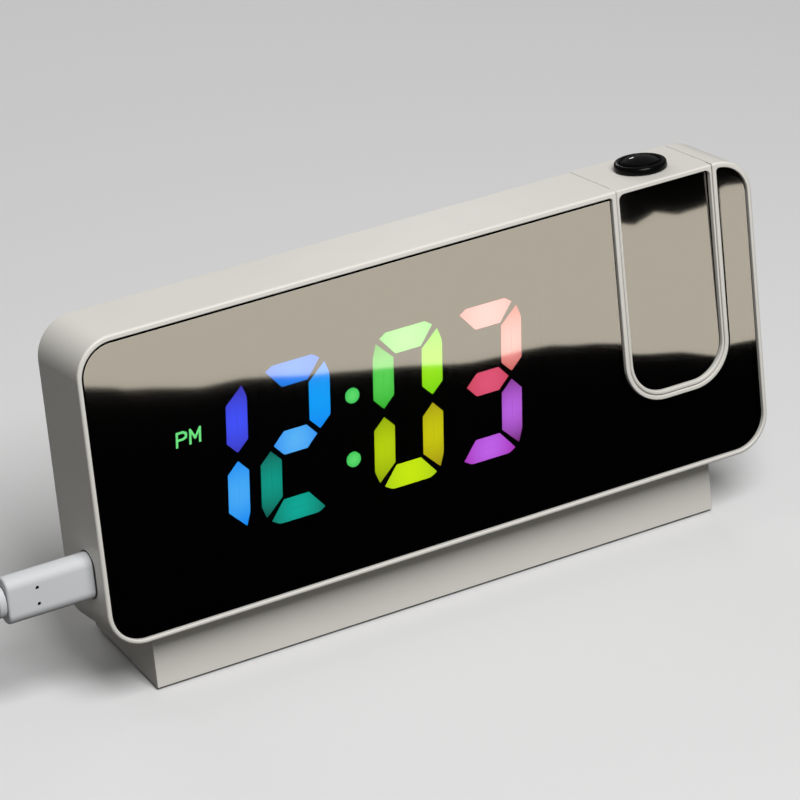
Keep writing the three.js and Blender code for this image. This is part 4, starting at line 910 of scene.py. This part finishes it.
for number, segments in COLORS.items():
    x = DIGIT_X[number - 1]
    lone = number == 1
    parts = [backing(
        x + (0.7 * SEGMENT_HALF if lone else 0), SEGMENT_HALF * (0.3 if lone else 1) + BACKING_RIM
    )]
    for letter in "bc" if lone else SEGMENTS:
        face = lit_segment(letter, x)
        if letter in segments:
            core, rim = segments[letter]
            face.data.materials.append(glow(f"glow_{number}{letter}", srgb(*core), srgb(*rim)))
        else:
            face.data.materials.append(DIFFUSER)
        parts.append(face)
    add(joined(parts), f"digit_{number}_lit", None, "body", [f"digit_diffuser_{number}"])

DOT, DOT_STEPS = 2.15 - SEGMENT_INSET, 40
COLON_X, COLON_Z = -23.65, (7.1, -9.85)
GREEN = glow("glow_colon", srgb(98, 226, 112), srgb(52, 196, 84))
parts = [backing(COLON_X, DOT + 1.02)]
for rise in COLON_Z:
    # The dots are upright discs: the lean only moves their middles.
    circle = []
    for k in range(DOT_STEPS):
        across, over = DOT * math.cos(TURN * k / DOT_STEPS), DOT * math.sin(TURN * k / DOT_STEPS)
        circle.append((COLON_X + across - SLANT * over, rise + over))
    dot = lit_plate(circle, ((COLON_X - 0.01, rise), (COLON_X + 0.01, rise)), DOT * 1.2)
    dot.data.materials.append(GREEN)
    parts.append(dot)
add(joined(parts), "colon_lit", None, "body", ["colon_diffuser"])

# Half-day indicator: a dark plate with lit strokes.
MARK_X, MARK_Z, MARK_WIDE, MARK_TALL, STROKE = -69.6, 48.9, 2.7, 3.44, 0.55
BOW = [(0, 1), (0.62, 1), (0.9, 0.88), (0.95, 0.73), (0.9, 0.58), (0.62, 0.47), (0, 0.47)]
LETTERS = [
    (-3.3, [[(0, 0), (0, 1)], BOW]),
    (0.45, [[(0, 0), (0, 1)], [(0, 1), (0.5, 0.35)], [(0.5, 0.35), (1, 1)], [(1, 1), (1, 0)]]),
]


def stroke(start, end):
    start, end = Vector(start), Vector(end)
    along = (end - start).normalized() * STROKE / 2
    across = Vector((-along.y, along.x))
    corners = [start - along - across, end + along - across, end + along + across, start - along + across]
    return loft([
        [(px + SLANT * (pz - MARK_Z), y, pz) for px, pz in corners] for y in (3.14, 3.5)
    ])


MARK_GREEN = glow("glow_mark", srgb(112, 232, 132), srgb(112, 232, 132))
plate = sweep(rectangle(MARK_X - 3.9, MARK_Z - 2.5, MARK_X + 3.9, MARK_Z + 2.5, 0.6), [
    (0.05, 3.3), (0, 3.4), (0, 4.6),
])
plate.data.materials.append(DIFFUSER)
behind = sweep(
    rectangle(MARK_X - 5.1, MARK_Z - 3.7, MARK_X + 5.1, MARK_Z + 3.7, 1.2),
    [(0, BACKING_FRONT), (0, BACKING_BACK)],
)
behind.data.materials.append(DIFFUSER)
parts = [plate, behind]
for left, lines in LETTERS:
    for line in lines:
        for start, end in zip(line, line[1:]):
            mark = stroke(*(
                (MARK_X + left + MARK_WIDE * px, MARK_Z + MARK_TALL * (pz - 0.5)) for px, pz in (start, end)
            ))
            mark.data.materials.append(MARK_GREEN)
            parts.append(mark)
add(joined(parts), "indicator_lit", None, "body", ["indicator_diffuser"])

# ---- stand and feet ----
def softened(node, name, material, bevel):
    """A copy of a frame node's solid with merged flats and softened edges."""
    mesh = bpy.data.objects[node].data.copy()
    mesh.materials.clear()
    with editing(mesh) as work:
        bmesh.ops.remove_doubles(work, verts=work.verts, dist=1e-7)
        bmesh.ops.dissolve_limit(
            work, angle_limit=math.radians(1), verts=work.verts, edges=work.edges, delimit=set()
        )
    return add(placed(name, mesh), name, material, "body", [node], bevel, local=False)


softened("stand_front", "stand_front_shell", WHITE, 0.35)
softened("stand_rear", "stand_rear_shell", WHITE, 0.35)
softened("stand_plate", "stand_plate_fine", WHITE, 0.2)
for number in range(1, 5):
    softened(f"rubber_foot_{number}", f"foot_pad_{number}", RUBBER, 0.25)
for number in (1, 2):
    softened(f"stand_screw_{number}", f"stand_screw_{number}_fine", STEEL, 0.12)

# ---- rear cover, buttons, battery door and screws ----
SPEAKER, SPEAKER_RADIUS = (-58.0, 42.0), 11
BATTERY = (12.0, 32.0)
BUTTONS = {"mode": -28, "up": -14, "down": 0, "alarm": 14, "light": 28}
BUTTON_Z = TALL - 16
DOOR, LUG_REACH, LUG_HALF = 12.2, 1.6, 2.5
SOUND_SLOTS, SOUND_STEP, SOUND_HALF, SOUND_SHARE = 7, 2.6, 0.6, 0.86
BUTTON_HOLE = 3.6
SCREW_HEAD = 2.0


def back_hole(radius, x, z, edge=0.25, steps=48):
    """A cutter through the rear cover with a softened mouth at the back."""
    return turned([
        (0, COVER_FRONT - OVER), (radius, COVER_FRONT - OVER), (radius, DEEP - edge),
        (radius + edge, DEEP), (radius + edge, DEEP + OVER), (0, DEEP + OVER),
    ], (x, 0, z), "Y", steps)


def make_rear_cover():
    inset = WALL + GAP
    cover = sweep(
        FACE, [(inset, COVER_FRONT)] + [(inset + more, y) for more, y in rounded(0.3, DEEP, -1, 3)], 14
    )
    lug = cuboid(
        (-DOOR - LUG_REACH - GAP, COVER_FRONT - OVER, -LUG_HALF - GAP),
        (DOOR + LUG_REACH + GAP, DEEP + OVER, LUG_HALF + GAP),
    )
    lug.data.transform(
        Matrix.Translation((BATTERY[0], 0, BATTERY[1])) @ Matrix.Rotation(math.radians(45), 4, "Y")
    )
    tools = [
        arm_block(ARM_HALF + GAP, COVER_FRONT - OVER, SHELF - GAP, DEEP + OVER, TALL + OVER),
        back_hole(DOOR + GAP, *BATTERY, 0.3, 96),
        lug,
    ]
    tools += [back_hole(BUTTON_HOLE, x, BUTTON_Z) for x in BUTTONS.values()]
    for number in range(SOUND_SLOTS):
        offset = (number - SOUND_SLOTS // 2) * SOUND_STEP
        half = SOUND_SHARE * math.sqrt(SPEAKER_RADIUS ** 2 - offset ** 2) - SOUND_HALF
        x, z = SPEAKER[0] + offset, SPEAKER[1]
        tools.append(sweep(rectangle(x - SOUND_HALF, z - half, x + SOUND_HALF, z + half, 0.59), [
            (0, COVER_FRONT - OVER), (0, DEEP - 0.2), (-0.2, DEEP), (-0.2, DEEP + OVER),
        ], 6))
    sink = SCREW_HEAD + GAP
    for x, z in COVER_SCREWS:
        tools.append(bar(SCREW_BORE, (x, 0, z), COVER_FRONT - OVER, DEEP, "Y", 24))
        tools.append(turned([
            (0, DEEP - 1), (sink, DEEP - 1), (sink, DEEP - 0.2),
            (sink + 0.2, DEEP), (sink + 0.2, DEEP + OVER), (0, DEEP + OVER),
        ], (x, 0, z), "Y", 32))
    return cut(cover, *tools)


add(make_rear_cover(), "rear_cover_shell", WHITE, "body", ["rear_cover"])


def cross_recess(x, z, back, reach, wide, deep):
    """Two crossed slots of a screw head, open at the back."""
    return [
        cuboid((x - a, back - deep, z - b), (x + a, back + OVER, z + b))
        for a, b in ((reach, wide), (wide, reach))
    ]


for number, (x, z) in enumerate(COVER_SCREWS, 1):
    head = DEEP - 0.7
    screw = turned([
        (0, head - 8), (0.45, head - 8), (0.9, head - 7.2), (0.9, head), (SCREW_HEAD, head),
        (SCREW_HEAD, DEEP - 0.25), (SCREW_HEAD - 0.3, DEEP - 0.05), (1.2, DEEP), (0, DEEP),
    ], (x, 0, z), "Y", 40)
    screw = cut(screw, *cross_recess(x, z, DEEP, 1.25, 0.28, 0.55))
    add(screw, f"cover_screw_{number}_fine", STEEL, "body", [f"cover_screw_{number}"])

for number, (x, z) in enumerate(ARM_SCREWS, 1):
    back = LEG - 0.1
    screw = turned([
        (0, back - 4.2), (0.9, back - 4.2), (0.9, back - 0.7), (SCREW_HEAD, back - 0.7),
        (SCREW_HEAD, back - 0.2), (SCREW_HEAD - 0.25, back), (0, back),
    ], (x, 0, z), "Y", 32)
    screw = cut(screw, *cross_recess(x, z, back, 1.2, 0.27, 0.4))
    add(screw, f"arm_screw_{number}_fine", STEEL, "arm", [f"arm_screw_{number}"])

for use, x in BUTTONS.items():
    flange = COVER_FRONT - GAP
    cap = turned([
        (0, flange - 2.1), (1.2, flange - 2.1), (1.2, flange - 1.2), (4.2, flange - 1.2), (4.2, flange),
        (3.3, flange), (3.3, DEEP + 0.5), (3.2, DEEP + 0.75), (2.95, DEEP + 0.93), (2.6, DEEP + 1),
        (1.3, DEEP + 0.9), (0, DEEP + 0.87),
    ], (x, 0, BUTTON_Z), "Y", 64)
    add(cap, f"button_{use}_cap", WHITE, f"button_{use}", [f"button_{use}"])


def make_door():
    lug_back = COVER_FRONT - GAP
    x, z = BATTERY
    disc = turned([
        (0, lug_back - 1), (DOOR, lug_back - 1), (DOOR, DEEP - 0.4), (DOOR - 0.12, DEEP - 0.12),
        (DOOR - 0.4, DEEP), (9.2, DEEP), (9.0, DEEP - 0.35), (8.6, DEEP - 0.35), (8.4, DEEP), (0, DEEP),
    ], (x, 0, z), "Y", 96)
    lugs = sweep(rectangle(
        x - DOOR - LUG_REACH, z - LUG_HALF, x + DOOR + LUG_REACH, z + LUG_HALF, 1
    ), [(0.1, lug_back - 1), (0, lug_back - 0.9), (0, lug_back - 0.1), (0.1, lug_back)], 6)
    slot = sweep(rectangle(x - 6, z - 0.9, x + 6, z + 0.9, 0.6), [
        (0, DEEP - 0.8), (0, DEEP - 0.15), (-0.15, DEEP), (-0.15, DEEP + OVER),
    ], 6)
    return cut(join(disc, lugs), slot)


add(make_door(), "battery_door_fine", WHITE, "battery_door", ["battery_door"])

# ---- projector lens ----
RING_FOOT = TALL + GAP
ring = turned([
    (LENS_BORE, RING_FOOT), (6.95, RING_FOOT), (7.05, RING_FOOT + 0.12), (6.98, RING_FOOT + 0.9),
    (6.85, RING_FOOT + 1.45), (6.68, RING_FOOT + 1.68), (6.4, RING_FOOT + 1.8),
    (5.7, RING_FOOT + 1.8), (LENS_BORE, RING_FOOT + 1.65),
], OPTICS, "Z", 96)
add(ring, "focus_ring_fine", LENS_BLACK, "focus", ["focus_ring"])

CELL = RING_FOOT + 0.8 + GAP
cell = turned([
    (3.4, CELL - 8), (4.2, CELL - 8), (4.2, CELL), (5.2, CELL), (5.2, CELL + 0.7), (5.0, CELL + 0.9),
    (4.95, CELL + 0.9), (4.9, CELL + 0.6), (3.4, CELL + 0.6),
], OPTICS, "Z", 96)
add(cell, "lens_cell_fine", LENS_BLACK, "lens", ["lens_cell"])

DOME_RADIUS, DOME_RISE, DOME_STEPS = 4.6, 1.1, 12
DOME_ARC = (DOME_RADIUS ** 2 + DOME_RISE ** 2) / (2 * DOME_RISE)
DOME_BASE = CELL + 0.6 + GAP
profile = [(0, DOME_BASE)]
for k in range(DOME_STEPS + 1):
    angle = math.asin(DOME_RADIUS / DOME_ARC) * (1 - k / DOME_STEPS)
    profile.append((DOME_ARC * math.sin(angle), DOME_BASE + DOME_RISE - DOME_ARC * (1 - math.cos(angle))))
dome = turned(profile, OPTICS, "Z", 96)
add(dome, "projector_dome", GLASS, "lens", ["projector_lens"])

# ---- plug ----
PLUG_NEAR = -HALF + 0.2
PLUG_FAR = PLUG_NEAR - 23.8
PLUG_THICK, PLUG_WIDE, PLUG_ROUND = 6.2, 12.4, 3.0
PLUG_FLAT = SOCKET_Y - PLUG_THICK / 2
PLUG_DOTS = [(PLUG_NEAR - 15.6, 0, SOCKET_Z + side * 2.15) for side in (-1, 1)]
RIBS, RIB_STEP, RIB_DEEP = 8, 1.925, 0.95

plug = side_bar(
    PLUG_THICK, PLUG_WIDE, PLUG_ROUND, rounded(0.7, PLUG_FAR, 1, 4) + rounded(0.5, PLUG_NEAR, -1, 4)
)
plug = cut(plug, *[bar(0.5, place, PLUG_FLAT - 1, PLUG_FLAT + 0.7, "Y", 20) for place in PLUG_DOTS])
# A black disc at the bottom of each dot's pit paints the shade in the pit.
for number, place in enumerate(PLUG_DOTS, 1):
    shade_disc = bar(0.45, place, PLUG_FLAT + 0.35, PLUG_FLAT + 0.6, "Y", 20)
    add(shade_disc, f"plug_pit_shade_{number}", FILM_AND_SHADE, "body")
add(plug, "plug_shell", LEAD_WHITE, "body", ["plug_body"])


def make_relief():
    """The ribbed, flattened strain relief behind the plug."""
    start = PLUG_FAR - GAP
    profile = [(0, start)]
    for rib in range(RIBS):
        groove = rib % 2
        radius = 4.1 - 1.4 * rib / RIBS - (RIB_DEEP if groove else 0)
        near, far = start - RIB_STEP * rib, start - RIB_STEP * (rib + 1)
        edge = 0 if groove else 0.2
        profile += [
            (radius - edge, near), (radius, near - edge), (radius, far + edge), (radius - edge, far),
        ]
    profile.append((0, start - RIB_STEP * RIBS))
    relief = turned(profile, (0, 0, 0), "X", 56)
    relief.data.transform(
        Matrix.Translation((0, SOCKET_Y, SOCKET_Z)) @ Matrix.Diagonal((1, 0.74, 1, 1))
    )
    return relief


add(make_relief(), "strain_relief_fine", LEAD_WHITE, "body", ["strain_relief"])

# ---- floor, light and stage ----
FLOOR_HALF, FLOOR_THICK = 3000, 4
FLOOR_SEEN, FLOOR_THROWN = srgb(222, 222, 222), srgb(86, 85, 82)
floor = loft([[(FLOOR_HALF * a, FLOOR_HALF * b, z) for a, b in SQUARE] for z in (-FLOOR_THICK, 0)])
floor.data.transform(Matrix.Scale(MM, 4))
floor.name = "floor"

# The floor is pale to the camera, and dull to the light that it throws back on the object.
pale = Finish("floor_pale", FLOOR_SEEN, 0.9, Specular_IOR_Level=0.1)
seen = pale.node("Mix", data_type="RGBA", A=FLOOR_THROWN, B=FLOOR_SEEN)
path = pale.node("LightPath")
pale.links.new(path.outputs["Is Camera Ray"], seen.inputs["Factor"])
pale.links.new(seen.outputs["Result"], pale.shader.inputs["Base Color"])
floor.data.materials.append(pale.material)

scene = bpy.context.scene
scene.view_settings.view_transform = "Standard"
world = bpy.data.worlds.new("studio")
scene.world = world
world.use_nodes = True
world.node_tree.nodes["Background"].inputs["Color"].default_value = (1, 1, 1, 1)
world.node_tree.nodes["Background"].inputs["Strength"].default_value = 0.155


LIT_POINT = Vector((0, 0, 0.04))


def area(name, place, size, power):
    """A square lamp that faces the middle of the clock."""
    lamp = bpy.data.lights.new(name, "AREA")
    lamp.shape = "SQUARE"
    lamp.size = size
    lamp.energy = power
    made = placed(name, lamp)
    made.location = place
    made.rotation_euler = (LIT_POINT - Vector(place)).to_track_quat("-Z", "Y").to_euler()
    return made


area("rear", (0.1, 1.2, 0.25), 0.7, 5.5).visible_glossy = False
area("front", (-0.04, -0.62, 1.0), 0.6, 13.0)


def card(name, points, color, strength):
    """A stage card that shows only in reflections."""
    mesh = bpy.data.meshes.new(name)
    mesh.from_pydata(points, [], [tuple(range(len(points)))])
    made = placed(name, mesh)
    material = bpy.data.materials.new(name)
    material.use_nodes = True
    nodes = material.node_tree.nodes
    nodes.remove(nodes["Principled BSDF"])
    light = nodes.new("ShaderNodeEmission")
    light.inputs["Color"].default_value = color
    light.inputs["Strength"].default_value = strength
    material.node_tree.links.new(light.outputs["Emission"], nodes["Material Output"].inputs["Surface"])
    made.data.materials.append(material)
    for ray in ("camera", "diffuse", "shadow", "transmission", "volume_scatter"):
        setattr(made, "visible_" + ray, False)


# The half mirror shows this card's bright face, whose lower edge runs across the digits.
CARD_AT = Vector((0.065041, -0.158801, 0.032700))
CARD_X = Vector((-0.892877, -0.450301, 0))
CARD_Z = Vector((0.088364, -0.175212, 0.980558))
CARD_EDGE = [
    (140, 23.75), (89.8, 15.6), (83, 14.2), (79.6, 13), (71.5, 11.9), (62.3, 10.1), (57.7, 9.4),
    (45.9, 9.65), (39.5, 8.85), (28, 7.05), (18.3, 6.25), (11, 5.4), (-1.9, 4.15), (-17.5, 1.8),
    (-21.6, 1.55), (-29.4, 1.75), (-37.8, 2.25), (-44.3, 2.1), (-50.1, 0.95), (-57.1, 0.2), (-62.8, -1),
    (-71, -2.8), (-81, -4.2), (-91, -7.4), (-104, -7.55), (-130, -8.05), (-130, 37), (-111, 37.4),
    (-102.7, 38.1), (-96, 35.9), (-88, 35.2), (-82, 37.2), (-75, 34.7), (-71, 36.2), (-70.9, 70), (140, 70),
]
card("light_card", [
    CARD_AT + (CARD_X * a + CARD_Z * b) * MM for a, b in CARD_EDGE
], srgb(236, 228, 215), 1.435)

# This one keeps the floor in front of the clock from showing in the mirror.
card("dark_flag", [
    Vector((x, y, 0.4)) * MM for x, y in ((-500, -700), (900, -700), (900, -24), (-500, -24))
], (0, 0, 0, 1), 0.0)

# And this one gives the lens its highlight.
GLINT_AT = Vector((0.246, 0.462, 0.209))
GLINT_X = Vector((0.932, -0.362, 0)) * 0.02
GLINT_Z = Vector((-0.079, -0.203, 0.976)) * 0.02
card("glint_card", [GLINT_AT + GLINT_X * a + GLINT_Z * b for a, b in SQUARE], (1, 1, 1, 1), 9)
